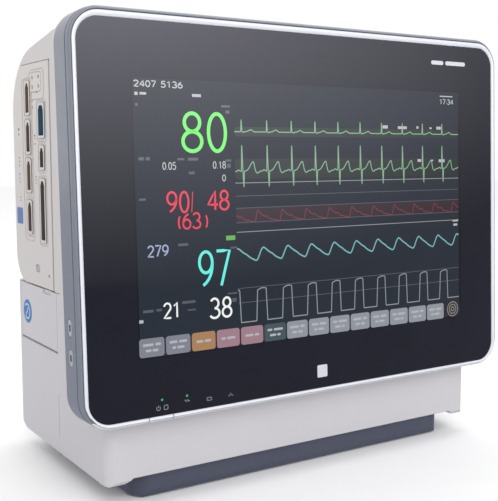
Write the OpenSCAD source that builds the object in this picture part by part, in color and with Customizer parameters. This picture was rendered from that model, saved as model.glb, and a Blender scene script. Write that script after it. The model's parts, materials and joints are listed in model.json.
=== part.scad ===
// Bedside patient monitor: tilted touch display over a lower housing,
// plug-in measuring unit on its right-hand (-X) flank, battery door, base foot.
// +Z is up, +X is the viewer's right, the display faces -Y. Origin: bottom centre.

/* [Display] */
// Width of the lit display area
display_w = 331; // [320:1:340]
// Height of the lit display area
display_h = 207; // [200:1:212]
// Width of the front frame
frame_w = 428; // [424:1:432]
// Height of the front frame
frame_h = 307; // [304:1:310]
// Corner radius of the front frame
frame_r = 25; // [22:1:30]
// Depth of the frame's side band
frame_depth = 26; // [24:1:27]
// Backward lean of the display, degrees
lean = 2.4; // [2:0.1:2.6]

/* [Housing] */
// Half width of the housing behind the frame
body_half = 188; // [186:1:190]
// Height of the housing's underside above the table
belly_z = 16.5; // [15:0.5:18]
// Wall thickness of the moulded shells
wall = 3; // [2.5:0.1:3.2]
// Gap at the visible seams
seam = 0.4; // [0.3:0.05:0.6]

/* [Measuring unit] */
// Thickness of the plug-in unit, measured across the monitor
unit_t = 46; // [42:1:50]
// Height of the unit's top edge, under the shoulder of the cover
unit_top = 344; // [341:0.5:346]

/* [Keys] */
// Width of the power key in the lower rim
power_w = 20; // [16:1:24]
// Travel of each push key
key_travel = 0.8; // [0.5:0.1:1]

/* [Hidden] */

// The display's centre on the glass surface.
panel_y = -100;
panel_z = 220;
// Depth stations behind the glass surface, in the leaning frame of the display.
rim_front = -1.6;
glass_t = 3;
rim_back = 4.8;
frame_front = 5.6;
lcd_front = 4.2;
lcd_t = 9;
glass_w = 416.4;
glass_h = 295.4;
glass_r = 18;
glass_v = -1.6;
// Housing stations.
chin_y = -92;
chin_top = 65.4;
rear_y = 108;
cover_rear_y = 105;
split_z = 153;
unit_front_y = 13.6;
bay_y = 11.2;
unit_x = body_half - unit_t;
bay_top = unit_top + seam;
lip_half = frame_w / 2 - 2;
lip_depth = 37;
// Upper rear curve of the cover: a quarter ellipse.
top_arc_y = 45;
top_arc_z = 303;
top_ry = cover_rear_y - top_arc_y;
top_rz = 55;
top_arc_end = 79;
belly_r = 22;
unit_r = 25;
plan_r = 9;
// Socket layout on the unit's face: centre y, centre z, width, height.
multi_y = 66;
multi_z = [315.5, 282, 248.8, 212.8];
multi_size = [8, 25];
oximeter = [33, 295.5, 12, 25];
pressure = [33, 264.5, 8, 16];
lead = [33, 219.8, 9, 50];
socket_border = 2.4;
socket_depth = 12;
cavity_depth = 9;
// Battery door.
door_y0 = 7.5;
door_y1 = 96;
door_z0 = 101.6;
door_z1 = 152.4;
door_t = 3;
door_edge_r = 3;
door_pin_r = 1;
pin_clearance = 0.05;
// Side keys: height on the panel, size.
side_key_v = [-77.3, -99.6];
side_key_d = 15.5;
side_key_size = [7, 13];
// Front faces of the side keys' switches, from the middle plane.
switch_x = 207;
key_gap = 0.35;
power_u = -150.2;
split_v = split_z - panel_z;
// Rear recess with the mains inlet.
recess = [48, 172, 36, 94];
recess_depth = 16;
inlet_x = 132;
inlet_z = 65;
post_x = 80;
// Rear port plate.
port_box = [-96, 96, 166, 202];
port_z = 184;
port_recess = 8;
// Grip pocket in the back.
grip = [-50, 94, 290, 324];
grip_depth = 34;
// Base foot.
foot_half = 163;
foot_r = 18;
foot_y0 = -87.5;
foot_y1 = 78;
pad_x = [-140, 140];
pad_y = [-70, 62];
pad_r = 8;
foot_z0 = 1.6;
foot_screw_x = [-120, 120];
foot_screw_y = [-60, 50];
cover_screw_x = [-90, 160];
cover_screw_z = 210;
// Stand-offs of the main board.
post_xs = [-60, 100];
post_zs = [216, 284];
// Temperature jacks: middle of the block and the two rows of bores.
jack_y = 45;
jack_z = 328;
jack_bores_y = [37.5, 52.5];
jack_bores_z = [324, 332];
release_y = 50;
release_z = 169;
mount_pitch = 100;
mount_hole_r = 2.1;
status_u = [-148.8, -127.3, -108.2, -88.5];
status_v = -137;

// ---- Helpers -------------------------------------------------------------

// Points of an arc about [cx, cy] from angle a0 to a1.
function arc(cx, cy, r, a0, a1, n = 10) =
    [for (i = [0:n]) let (a = a0 + (a1 - a0) * i / n) [cx + r * cos(a), cy + r * sin(a)]];

// Points of the cover's upper rear curve, from the back to the angle a1.
function top_curve(inset, a1, n = 14) =
    [for (i = [0:n]) let (a = a1 * i / n)
        [top_arc_y + (top_ry - inset) * cos(a), top_arc_z + (top_rz - inset) * sin(a)]];

// Points of a rectangle with rounded corners, centred on the origin.
function rounded(w, h, r, n = 10) = concat(
    arc(w / 2 - r, h / 2 - r, r, 0, 90, n), arc(-w / 2 + r, h / 2 - r, r, 90, 180, n),
    arc(-w / 2 + r, -h / 2 + r, r, 180, 270, n), arc(w / 2 - r, -h / 2 + r, r, 270, 360, n));

// The y of a plane d behind the leaning glass, at height z.
function behind(z, d) = panel_y + d / cos(lean) + (z - panel_z) * tan(lean);

// Extrudes a (y, z) outline from x0 to x1.
module along_x(x0, x1) translate([x0, 0, 0]) rotate([90, 0, 90]) linear_extrude(x1 - x0) children();

// Extrudes an (x, z) outline from y0 to y1.
module along_y(y0, y1) translate([0, y1, 0]) rotate([90, 0, 0]) linear_extrude(y1 - y0) children();

// Places children in the leaning frame of the display: y is depth behind the glass.
module on_panel() translate([0, panel_y, panel_z]) rotate([-lean, 0, 0]) children();

module block(x0, x1, y0, y1, z0, z1) translate([x0, y0, z0]) cube([x1 - x0, y1 - y0, z1 - z0]);

// A rounded window through a shell in the x direction.
module x_window(x0, x1, y, z, w, h, r) along_x(x0, x1) translate([y, z]) polygon(rounded(w, h, r, 6));

module y_window(y0, y1, x, z, w, h, r) along_y(y0, y1) translate([x, z]) polygon(rounded(w, h, r, 6));

// A cylinder along x or y.
module rod_x(x0, x1, y, z, r, fn = 32) translate([x0, y, z]) rotate([0, 90, 0])
    cylinder(x1 - x0, r, r, $fn = fn);
module rod_y(y0, y1, x, z, r, fn = 32) translate([x, y0, z]) rotate([-90, 0, 0])
    cylinder(y1 - y0, r, r, $fn = fn);

// A screw along y with its head at the y1 end.
module screw_y(y0, y1, x, z, r, head) {
    rod_y(y0, y1, x, z, r, 20);
    difference() {
        rod_y(y1, y1 + 1.6, x, z, head, 24);
        rod_y(y1 + 0.8, y1 + 2, x, z, head * 0.45, 6);
    }
}

// ---- Display assembly ------------------------------------------------------

module front_rim() color([0.86, 0.87, 0.9]) on_panel() difference() {
    union() {
        along_y(rim_front + 1, rim_back) polygon(rounded(frame_w - 1, frame_h - 1, frame_r - 0.5, 14));
        along_y(rim_front, rim_front + 1.001) polygon(rounded(frame_w - 4, frame_h - 4, frame_r - 2, 14));
    }
    along_y(rim_front - 1, glass_t + 0.2) translate([0, glass_v])
        polygon(rounded(glass_w + 0.6, glass_h + 0.6, glass_r + 0.3, 14));
    along_y(glass_t, rim_back + 1) polygon(rounded(404, 284, 18, 10));
    // Notch for the power key.
    block(power_u - power_w / 2 - key_gap, power_u + power_w / 2 + key_gap, rim_front - 1, rim_back - 1,
        -frame_h / 2 - 1, glass_v - glass_h / 2 + 0.1);
    block(power_u - 5, power_u + 5, rim_back - 1.5, rim_back + 1, -frame_h / 2 + 0.9, -frame_h / 2 + 3.9);
}

module front_glass() color([0.06, 0.065, 0.08]) on_panel()
    along_y(0, glass_t) translate([0, glass_v]) polygon(rounded(glass_w, glass_h, glass_r, 14));

module glass_gasket() color([0.05, 0.05, 0.05]) on_panel() difference() {
    along_y(glass_t + 0.1, lcd_front - 0.1) polygon(rounded(398, 272, 12));
    along_y(glass_t - 1, lcd_front + 1) polygon(rounded(display_w + 4, display_h + 4, 1));
}

module front_frame() color([0.56, 0.58, 0.63]) on_panel() difference() {
    along_y(frame_front, frame_depth) polygon(rounded(frame_w, frame_h, frame_r, 14));
    along_y(frame_front + 2.4, frame_depth + 1) polygon(rounded(frame_w - 2 * wall, frame_h - 2 * wall,
        frame_r - wall, 14));
    along_y(frame_front - 1, frame_depth) polygon(rounded(360, 236, 4));
    // Windows for the two side keys and the alarm lens.
    for (v = side_key_v)
        x_window(-frame_w / 2 - 1, -frame_w / 2 + wall + 1, side_key_d, v,
            side_key_size[0] + 2 * key_gap, side_key_size[1] + 2 * key_gap, 3.8);
    translate([0, 0, frame_h / 2 - wall - 1]) linear_extrude(wall + 2) translate([0, 16])
        polygon(rounded(120.6, 9.6, 4.8, 6));
    // Pocket for the power key's stem.
    block(power_u - 5, power_u + 5, frame_front - 1, frame_front + 8, -frame_h / 2 + 0.9, -frame_h / 2 + 3.9);
    for (u = status_u) rod_y(frame_front - 1, frame_front + 4, u, status_v, 2.2);
}

module lcd_module() color([0.72, 0.73, 0.74]) on_panel() difference() {
    along_y(lcd_front, lcd_front + lcd_t) polygon(rounded(display_w + 15, display_h + 15, 1.5, 4));
    along_y(lcd_front - 1, lcd_front + 0.4) square([display_w, display_h], center = true);
}

module display_chassis() color([0.7, 0.71, 0.72]) on_panel() {
    difference() {
        along_y(15, 16.2) polygon(rounded(400, 280, 10));
        for (u = [-120, -40, 40, 120]) along_y(14, 17) translate([u, 30]) polygon(rounded(56, 70, 6, 5));
        for (u = [-1, 1], v = [-1, 1]) rod_y(14, 17, u * 186, v * 120, 1.75);
        along_y(14, 17) translate([0, -55]) polygon(rounded(260, 26, 6, 5));
    }
    for (u = [-1, 1]) block(u * 176 - 1, u * 176 + 1, lcd_front + 2, 15, -90, 90);
}

// Plate that closes the display from behind.
module display_back() color([0.56, 0.58, 0.63]) on_panel() difference() {
    along_y(frame_depth - 2.4, frame_depth - 0.2) polygon(rounded(frame_w - 2 * wall - 0.6,
        frame_h - 2 * wall - 0.6, frame_r - wall - 0.3, 14));
    along_y(frame_depth - 3, frame_depth + 1) polygon(rounded(150, 60, 6, 5));
}

module lcd_driver_board() color([0.1, 0.35, 0.2]) on_panel() {
    block(-80, 80, 18.4, 20, 74, 122);
    for (u = [-60:24:60]) block(u - 7, u + 7, 20, 22.2, 84, 98);
    for (u = [-74, 74]) rod_y(16.2, 18.4, u, 80, 2.4, 20);
}

module lcd_ribbon() color([0.85, 0.75, 0.55]) on_panel() block(-18, 18, 22.6, 23, 30, 122);

module alarm_light_lens() color([0.9, 0.92, 0.93, 0.7]) on_panel()
    translate([0, 0, frame_h / 2 - wall - 2]) linear_extrude(wall + 2) translate([0, 16])
        polygon(rounded(120, 9, 4.5, 6));

module alarm_led_board() color([0.1, 0.35, 0.2]) on_panel() {
    block(-58, 58, 11, 21, frame_h / 2 - 12, frame_h / 2 - 10.6);
    for (u = [-50:20:50]) block(u - 2, u + 2, 14, 18, frame_h / 2 - 10.6, frame_h / 2 - 8);
}

module status_light_pipes() color([0.8, 0.95, 0.85, 0.7]) on_panel() for (u = status_u)
    rod_y(glass_t + 1.4, frame_front + 5, u, status_v, 1.8, 24);

module key_board() color([0.1, 0.35, 0.2]) on_panel() {
    // Board for the side keys, standing inside the left wall of the frame.
    block(-205.5, -204, 9, 22, -112, -64);
    for (v = side_key_v) block(-switch_x, -205.5, side_key_d - 3, side_key_d + 3, v - 3, v + 3);
    // Board for the power key and the status lamps.
    block(-168, -80, 11, 12.4, -146, -133.8);
    block(power_u - 3, power_u + 3, 11.2, 12.4, -152, -146);
}

module power_key() color([0.88, 0.89, 0.91]) on_panel() {
    block(power_u - power_w / 2, power_u + power_w / 2, rim_front + 0.2, rim_back - 2,
        -frame_h / 2 + 0.4, glass_v - glass_h / 2 - 0.3);
    block(power_u - 4, power_u + 4, rim_back - 2.01, rim_back + 4.4, -frame_h / 2 + 1.6, -frame_h / 2 + 3.2);
}

module side_key(v) color([0.78, 0.79, 0.83]) on_panel() {
    x_window(-frame_w / 2 + 0.1, -frame_w / 2 + 2.6, side_key_d, v, side_key_size[0], side_key_size[1], 3.45);
    x_window(-frame_w / 2 + 2.6, -switch_x - 1 - key_travel, side_key_d, v, 3, 6, 1.4);
}

module side_key_upper() side_key(side_key_v[0]);
module side_key_lower() side_key(side_key_v[1]);

// ---- Housings ---------------------------------------------------------------

// Side outline of the upper cover, from the display's back to the curved rear.
function cover_outline(inset, base) = concat(
    [[behind(base, frame_depth + 2) + inset, base], [cover_rear_y - inset, base]],
    top_curve(inset, top_arc_end),
    [[0, 366.4 - inset], [-50, 368 - inset], [behind(368, frame_depth + 2) + inset, 368 - inset]]);

// Plan outline that rounds the upright corners.
module plan(half, y0, y1, z0, z1, r) translate([0, (y0 + y1) / 2, z0])
    linear_extrude(z1 - z0) polygon(rounded(2 * half, y1 - y0, r, 8));

module cover_solid(inset, base) intersection() {
    along_x(-body_half + inset, body_half - inset) polygon(cover_outline(inset, base));
    plan(body_half - inset, -90, cover_rear_y - inset, base - 1, 380, plan_r);
}

// The part of the cover that meets the back of the display, above the split.
module lip(inset, front, back) on_panel() intersection() {
    along_y(front, back) polygon(rounded(2 * (lip_half - inset), frame_h - 4 - 2 * inset, frame_r - 2, 14));
    block(-300, 300, 0, 100, split_v + 3.8 + inset, 300);
}

module rear_cover() color([0.82, 0.81, 0.79]) difference() {
    union() {
        difference() {
            union() {
                lip(0, frame_depth + seam, lip_depth);
                cover_solid(0, split_z + seam);
            }
            lip(wall, frame_depth, lip_depth - wall);
            difference() {
                cover_solid(wall, split_z - 5);
                // Inner walls and roof of the measuring unit's bay.
                block(-unit_x - wall, -unit_x, bay_y - wall, 120, 100, bay_top + wall);
                block(-200, -unit_x, bay_y - wall, bay_y, 100, bay_top + wall);
                block(-200, -unit_x, bay_y - wall, 120, bay_top, bay_top + wall);
            }
            // Front is open to the display.
            on_panel() block(-180, 180, frame_depth - 6, lip_depth, split_v + 8, 138);
        }
        // Pan behind the rear port plate.
        block(port_box[0] - 2, port_box[1] + 2, cover_rear_y - port_recess - 2, cover_rear_y - wall,
            port_box[2] - 2, port_box[3] + 2);
        // Bosses for the cover screws.
        for (x = cover_screw_x) rod_y(cover_rear_y - 22, cover_rear_y - wall, x, cover_screw_z, 5);
    }
    // Bay of the measuring unit.
    block(-300, -unit_x - wall, bay_y, 200, 0, bay_top);
    // Opening for the docking socket.
    x_window(-unit_x - wall - 1, -unit_x + 1, 60, 240, 14.6, 44.6, 2);
    // Recess and windows of the port plate.
    block(port_box[0], port_box[1], cover_rear_y - port_recess, 200, port_box[2], port_box[3]);
    block(port_box[0] + 8, port_box[1] - 8, cover_rear_y - port_recess - 3, 200, port_box[2] + 6,
        port_box[3] - 6);
    // Grip pocket.
    block(grip[0] - 2.6, grip[1] + 2.6, cover_rear_y - wall - 9, 200, grip[2] - 2.6, grip[3] + 2.6);
    // Vent slots in the back and the right-hand side.
    for (i = [0:10]) y_window(cover_rear_y - wall - 1, 200, -40 + i * 14, 244, 4, 46, 2);
    for (i = [0:8]) x_window(body_half - wall - 1, body_half + 1, -20 + i * 12, 300, 4, 40, 2);
    for (x = cover_screw_x) rod_y(cover_rear_y - 40, 200, x, cover_screw_z, 1.8);
    for (x = cover_screw_x) rod_y(cover_rear_y - 1.8, 200, x, cover_screw_z, 4.2);
}

module grip_cup() color([0.3, 0.31, 0.34]) difference() {
    block(grip[0] - 2.2, grip[1] + 2.2, cover_rear_y - grip_depth - 2.2, cover_rear_y - 0.6, grip[2] - 2.2,
        grip[3] + 2.2);
    block(grip[0], grip[1], cover_rear_y - grip_depth, 200, grip[2], grip[3]);
    // The upper lip follows the curve of the cover.
    difference() {
        block(grip[0] - 5, grip[1] + 5, 60, 120, grip[2] - 5, grip[3] + 5);
        along_x(-200, 200) polygon(cover_outline(0.8, 160));
    }
}

// Side outline of the lower housing with its forward chin.
function lower_outline(inset) = concat(
    [[chin_y + inset, belly_z + 3], [chin_y + inset + 3, belly_z + inset]],
    arc(rear_y - belly_r, belly_z + belly_r, belly_r - inset, -90, 0, 10),
    [[rear_y - inset, split_z - inset], [behind(split_z, frame_depth + seam) + inset, split_z - inset],
        [behind(64, frame_depth + seam) + inset, chin_top - inset], [chin_y + inset, chin_top - inset]]);

module lower_solid(inset) intersection() {
    along_x(-body_half + inset, body_half - inset) polygon(lower_outline(inset));
    plan(body_half - inset, chin_y + inset, rear_y - inset, 0, 200, plan_r);
}

module lower_housing() color([0.83, 0.83, 0.84]) difference() {
    union() {
        difference() {
            lower_solid(0);
            lower_solid(wall);
            // Open top under the upper cover.
            block(-150, 150, -60, 90, split_z - 10, split_z + 1);
        }
        // Pan of the mains recess.
        difference() {
            block(recess[0] - 2.5, recess[1] + 2.5, rear_y - recess_depth - 2.5, rear_y - 1,
                recess[2] - 2.5, recess[3] + 2.5);
            block(recess[0], recess[1], rear_y - recess_depth, 200, recess[2], recess[3]);
        }
        // Ears that hold the door's pin.
        for (y = [door_y0 - 5, door_y1 + 0.6])
            block(-body_half + 0.8, -body_half + 7, y, y + 4.4, door_z0 - 1.5, door_z0 + 7);
    }
    block(recess[0], recess[1], rear_y - recess_depth, 200, recess[2], recess[3]);
    // Opening of the battery door.
    block(-body_half - 1, -body_half + wall + 0.2, door_y0 - seam, door_y1 + seam, door_z0 - seam,
        split_z + 5);
    // Bores for the door pin.
    rod_y(door_y0 - 4, door_y1 + 4, -body_half + door_edge_r, door_z0 + door_edge_r, door_pin_r + 0.02, 24);
    // Shallow seam line in front of the door.
    block(-body_half - 1, -body_half + 0.6, 6.6, 7.4, 30, 67);
    // Notch for the base foot.
    along_y(-120, foot_y1 + 1) polygon([[-foot_half - 10, belly_z - 9], [-foot_half - 10, belly_z],
        [-foot_half - 4, belly_z + 4.4], [foot_half + 4, belly_z + 4.4], [foot_half + 10, belly_z],
        [foot_half + 10, belly_z - 9]]);
    // Window for the mains inlet, hole for the post.
    block(inlet_x - 14.2, inlet_x + 14.2, rear_y - recess_depth - 10, rear_y - recess_depth + 2,
        inlet_z - 10.2, inlet_z + 10.2);
    rod_y(rear_y - recess_depth - 10, rear_y - recess_depth + 2, post_x, inlet_z, 3.2);
    // Speaker slots in the right-hand side.
    for (i = [0:8]) x_window(body_half - wall - 1, body_half + 1, -20 + i * 7, 90, 2.6, 40, 1.3);
    // Screw holes for the foot.
    for (x = foot_screw_x, y = foot_screw_y) translate([x, y, 0]) cylinder(40, 1.8, 1.8, $fn = 24);
}

module base_foot() color([0.25, 0.27, 0.33]) difference() {
    translate([0, (foot_y0 + foot_y1) / 2, foot_z0]) linear_extrude(belly_z + 4 - foot_z0)
        polygon(rounded(2 * foot_half, foot_y1 - foot_y0, foot_r, 12));
    // The lower edge of the front leans back.
    along_x(-200, 200) polygon([[foot_y0 - 1, foot_z0 + 6], [foot_y0 + 4, foot_z0 - 1], [foot_y0 - 1,
        foot_z0 - 1]]);
    for (x = [-1, 1], y = [-1, 1]) translate([x * mount_pitch / 2, y * mount_pitch / 2, foot_z0 - 1])
        cylinder(11, mount_hole_r, mount_hole_r, $fn = 32);
    for (x = foot_screw_x, y = foot_screw_y) translate([x, y, foot_z0 - 1]) {
        cylinder(40, 1.9, 1.9, $fn = 24);
        cylinder(5, 4.2, 4.2, $fn = 24);
    }
    for (x = pad_x, y = pad_y) translate([x, y, foot_z0 - 1]) cylinder(2, pad_r + 0.3, pad_r + 0.3, $fn = 32);
}

module rubber_pads() color([0.08, 0.08, 0.09]) for (x = pad_x, y = pad_y)
    translate([x, y, 0]) cylinder(foot_z0 + 0.9, pad_r, pad_r, $fn = 32);

module foot_screws() color([0.7, 0.7, 0.72]) for (x = foot_screw_x, y = foot_screw_y) translate([x, y, 0]) {
    translate([0, 0, foot_z0 + 2]) cylinder(2, 3.4, 3.4, $fn = 24);
    translate([0, 0, foot_z0 + 4]) cylinder(20, 1.6, 1.6, $fn = 20);
}

// ---- Inside ------------------------------------------------------------------

module main_chassis() color([0.7, 0.71, 0.72]) {
    difference() {
        block(-136, 147, -48, -46.6, 24, 350);
        for (x = [-80, 0, 80]) block(x - 24, x + 24, -50, -40, 300, 336);
        for (x = post_xs, z = post_zs) rod_y(-50, -40, x, z, 1.6);
    }
    block(-136, 147, -46.6, 30, 24, 25.4);
    for (x = post_xs, z = post_zs) difference() {
        rod_y(-46.6, -38, x, z, 3, 24);
        rod_y(-47, -37, x, z, 1.6);
    }
}

module main_board() color([0.08, 0.3, 0.18]) {
    difference() {
        block(-76, 116, -38, -36.4, 206, 294);
        for (x = post_xs, z = post_zs) rod_y(-40, -30, x, z, 1.7);
    }
    for (x = [-52:30:60]) block(x, x + 16, -36.4, -34.2, 214, 230);
    block(60, 96, -36.4, -33, 216, 240);
    block(-60, -20, -36.4, -33.4, 252, 276);
}

module board_heatsink() color([0.62, 0.63, 0.65]) {
    block(0, 44, -36.4, -33, 240, 284);
    for (i = [0:7]) block(i * 6, i * 6 + 1.6, -33, -18, 240, 284);
}

module power_supply() color([0.75, 0.76, 0.77]) {
    block(40, 150, -44, -42, 30, 130);
    block(46, 92, -42, -8, 40, 80);
    for (z = [92, 112]) rod_y(-42, -14, 70, z, 8, 28);
    block(104, 140, -42, -12, 36, 70);
    for (i = [0:5]) block(104 + i * 6, 106 + i * 6, -42, -10, 82, 124);
}

module speaker() color([0.15, 0.15, 0.16]) {
    difference() {
        rod_x(body_half - wall - 8, body_half - wall - 1.4, 8, 90, 25, 48);
        translate([body_half - wall - 6, 8, 90]) rotate([0, 90, 0]) cylinder(6, 10, 23, $fn = 48);
    }
    rod_x(body_half - wall - 24, body_half - wall - 8, 8, 90, 13, 36);
}

module speaker_mesh() color([0.2, 0.2, 0.22]) rod_x(body_half - wall - 1.2, body_half - wall - 0.2, 8, 90,
    26, 40);

module battery_pack() color([0.3, 0.31, 0.35]) {
    block(-178, -84, 12, 90, 106, 146);
    block(-180, -178, 34, 70, 112, 118);
}

module battery_contacts() color([0.75, 0.6, 0.25]) {
    block(-83.4, -76, 20, 80, 108, 144);
    for (y = [28:14:72]) block(-83.9, -83.4, y, y + 4, 114, 138);
}

module battery_door() color([0.83, 0.83, 0.84]) difference() {
    union() {
        block(-body_half, -body_half + door_t, door_y0, door_y1, door_z0 + door_edge_r, door_z1);
        rod_y(door_y0, door_y1, -body_half + door_edge_r, door_z0 + door_edge_r, door_edge_r, 36);
        block(-body_half + door_t, -body_half + door_t + 2, 44, 60, door_z1 - 8, door_z1 - 4);
    }
    rod_y(door_y0 - 1, door_y1 + 1, -body_half + door_edge_r, door_z0 + door_edge_r,
        door_pin_r + pin_clearance, 24);
    // Finger scoop at the top edge.
    x_window(-body_half - 1, -body_half + 1.2, 30, door_z1, 20, 7, 3);
}

module door_pin() color([0.7, 0.7, 0.72])
    rod_y(door_y0 - 4, door_y1 + 4, -body_half + door_edge_r, door_z0 + door_edge_r, door_pin_r, 24);

// ---- Measuring unit -----------------------------------------------------------

unit_outline_base = split_z + 2 * seam;
function unit_outline(inset) = concat(
    [[unit_front_y + seam + inset, unit_outline_base + inset]],
    arc(cover_rear_y - unit_r, unit_outline_base + unit_r, unit_r - inset, -90, 0, 12),
    top_curve(inset, asin((unit_top - inset - top_arc_z) / (top_rz - inset)), 10),
    [[unit_front_y + seam + inset, unit_top - inset]]);

module socket_window(s, grow) x_window(-body_half - 1, -body_half + 4, s[0], s[1],
    s[2] + 2 * (socket_border + grow), s[3] + 2 * (socket_border + grow), 2.4);

module all_windows(grow) {
    for (z = multi_z) socket_window([multi_y, z, multi_size[0], multi_size[1]], grow);
    socket_window(oximeter, grow);
    socket_window(pressure, grow);
    socket_window(lead, grow);
}

module unit_case() color([0.83, 0.81, 0.78]) difference() {
    along_x(-body_half, -unit_x - wall - 2) polygon(unit_outline(0));
    along_x(-body_half + 2.4, -unit_x - wall - 1.99) polygon(unit_outline(2.4));
    all_windows(0.15);
    x_window(-body_half - 1, -body_half + 4, jack_y, jack_z, 26.4, 16.4, 3);
    x_window(-body_half - 1, -body_half + 4, release_y, release_z, 10.7, 6.7, 3.3);
}

module unit_back_plate() color([0.6, 0.61, 0.63]) difference() {
    along_x(-unit_x - wall - 4.4, -unit_x - wall - 2.4) polygon(unit_outline(2.8));
    x_window(-unit_x - wall - 5, -unit_x - wall - 1, 60, 240, 12.6, 42.6, 2);
}

module unit_release_key() color([0.75, 0.74, 0.72]) {
    x_window(-body_half + 0.2, -body_half + 3.2, release_y, release_z, 10, 6, 2.95);
    x_window(-body_half + 3.2, -body_half + 9, release_y, release_z, 5, 3, 1.4);
}

module amplifier_board() color([0.08, 0.3, 0.18]) {
    block(-156.6, -155, 22, 98, 186, 300);
    for (z = [196:26:280]) block(-158.6, -156.6, 30, 52, z, z + 12);
}

module cuff_pump() color([0.2, 0.2, 0.22]) {
    translate([-166, 26, 196]) cylinder(46, 7.5, 7.5, $fn = 32);
    translate([-166, 26, 242]) cylinder(8, 2.4, 2.4, $fn = 20);
}

module dock_plug() color([0.1, 0.1, 0.11]) {
    difference() {
        x_window(-154.6, -unit_x - 0.6, 60, 240, 12, 42, 1.5);
        x_window(-unit_x - wall - 4, -unit_x - wall + 5, 60, 240, 8, 38, 1);
    }
}

module dock_socket() color([0.15, 0.15, 0.16]) {
    x_window(-unit_x - wall - 3.4, -unit_x + 4, 60, 240, 7.4, 37.4, 0.8);
    x_window(-unit_x + 0.4, -unit_x + 4, 60, 240, 20, 50, 2);
}

// A socket body: raised border, deep cavity, closed back. The cavity's upper end is chamfered.
module socket(s, tint) color(tint) difference() {
    x_window(-body_half - 0.6, -body_half + socket_depth, s[0], s[1],
        s[2] + 2 * socket_border, s[3] + 2 * socket_border, 2.4);
    along_x(-body_half - 2, -body_half + cavity_depth) translate([s[0], s[1]]) polygon([
        [-s[2] / 2, -s[3] / 2], [s[2] / 2, -s[3] / 2], [s[2] / 2, s[3] / 2 - 4],
        [s[2] / 2 - 2.4, s[3] / 2], [-s[2] / 2 + 2.4, s[3] / 2], [-s[2] / 2, s[3] / 2 - 4]]);
}

module multi_socket(i) socket([multi_y, multi_z[i], multi_size[0], multi_size[1]], [0.8, 0.76, 0.66]);
module multi_socket_1() multi_socket(0);
module multi_socket_2() multi_socket(1);
module multi_socket_3() multi_socket(2);
module multi_socket_4() multi_socket(3);
module oximeter_socket() socket(oximeter, [0.25, 0.42, 0.6]);
module pressure_socket() socket(pressure, [0.72, 0.7, 0.68]);
module lead_socket() socket(lead, [0.7, 0.7, 0.68]);

module temperature_jacks() color([0.8, 0.79, 0.77]) difference() {
    x_window(-body_half - 0.2, -body_half + 10, jack_y, jack_z, 26, 16, 2.8);
    for (y = jack_bores_y, z = jack_bores_z) rod_x(-body_half - 1, -body_half + 7, y, z, 1.75, 24);
}

module socket_pins() color([0.8, 0.65, 0.3]) {
    for (z = multi_z, k = [-8:4:8], y = [-1.6, 1.6])
        rod_x(-body_half + cavity_depth - 2.6, -body_half + cavity_depth, multi_y + y, z + k, 0.5, 14);
    for (k = [-8:4:8], y = [-3, 3])
        rod_x(-body_half + cavity_depth - 2.6, -body_half + cavity_depth, oximeter[0] + y, oximeter[1] + k,
            0.6, 14);
    for (k = [-4, 0, 4])
        rod_x(-body_half + cavity_depth - 2.6, -body_half + cavity_depth, pressure[0], pressure[1] + k,
            0.6, 14);
    for (k = [-20:5:20])
        rod_x(-body_half + cavity_depth - 2.6, -body_half + cavity_depth, lead[0], lead[1] + k, 0.6, 14);
}

// ---- Rear connectors ------------------------------------------------------------

plate_y = cover_rear_y - port_recess;
module port_plate() color([0.72, 0.73, 0.74]) difference() {
    block(port_box[0] + 0.3, port_box[1] - 0.3, plate_y + 0.02, plate_y + 1.2, port_box[2] + 0.3,
        port_box[3] - 0.3);
    y_window(plate_y - 1, plate_y + 2, -66, port_z, 16.4, 14.4, 0.4);
    for (x = [-36, -16]) y_window(plate_y - 1, plate_y + 2, x, port_z, 15, 7.6, 0.4);
    y_window(plate_y - 1, plate_y + 2, 30, port_z, 36.6, 10.6, 3);
    for (x = [-88, 88]) rod_y(plate_y - 1, plate_y + 2, x, port_z, 1.7);
}

module network_port() color([0.6, 0.61, 0.62]) difference() {
    block(-74, -58, plate_y - 14, plate_y + 1.6, port_z - 7, port_z + 7);
    block(-72, -60, plate_y - 10, plate_y + 3, port_z - 4.6, port_z + 4.6);
}

module usb_ports() color([0.62, 0.63, 0.65]) for (x = [-36, -16]) difference() {
    block(x - 7.2, x + 7.2, plate_y - 12, plate_y + 1.6, port_z - 3.5, port_z + 3.5);
    block(x - 6.4, x + 6.4, plate_y - 9, plate_y + 3, port_z - 2.7, port_z + 2.7);
}

module video_port() color([0.15, 0.25, 0.5]) {
    difference() {
        y_window(plate_y - 10, plate_y + 5.6, 30, port_z, 36, 10, 2.8);
        for (r = [0:2], k = [-3:3]) rod_y(plate_y + 2, plate_y + 7, 30 + k * 4 + (r % 2),
            port_z - 2.6 + r * 2.6, 0.55, 14);
    }
    for (x = [8, 52]) rod_y(plate_y + 1.3, plate_y + 5.4, x, port_z, 2.4, 6);
}

module mains_inlet() color([0.08, 0.08, 0.09]) difference() {
    union() {
        block(inlet_x - 13.8, inlet_x + 13.8, rear_y - recess_depth - 22, rear_y - recess_depth + 0.1,
            inlet_z - 9.8, inlet_z + 9.8);
        block(inlet_x - 25, inlet_x + 25, rear_y - recess_depth + 0.05, rear_y - recess_depth + 3,
            inlet_z - 13, inlet_z + 13);
    }
    along_y(rear_y - recess_depth - 16, 200) translate([inlet_x, inlet_z]) polygon(
        [[-12, -8], [12, -8], [12, 4], [8, 8], [-8, 8], [-12, 4]]);
    for (x = [-20, 20]) rod_y(rear_y - recess_depth - 1, rear_y, inlet_x + x, inlet_z, 1.7);
}

module inlet_blades() color([0.8, 0.8, 0.78]) for (p = [[-7, -2], [0, 2], [7, -2]])
    block(inlet_x + p[0] - 1, inlet_x + p[0] + 1, rear_y - recess_depth - 16, rear_y - recess_depth - 3,
        inlet_z + p[1] - 2.4, inlet_z + p[1] + 2.4);

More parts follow.
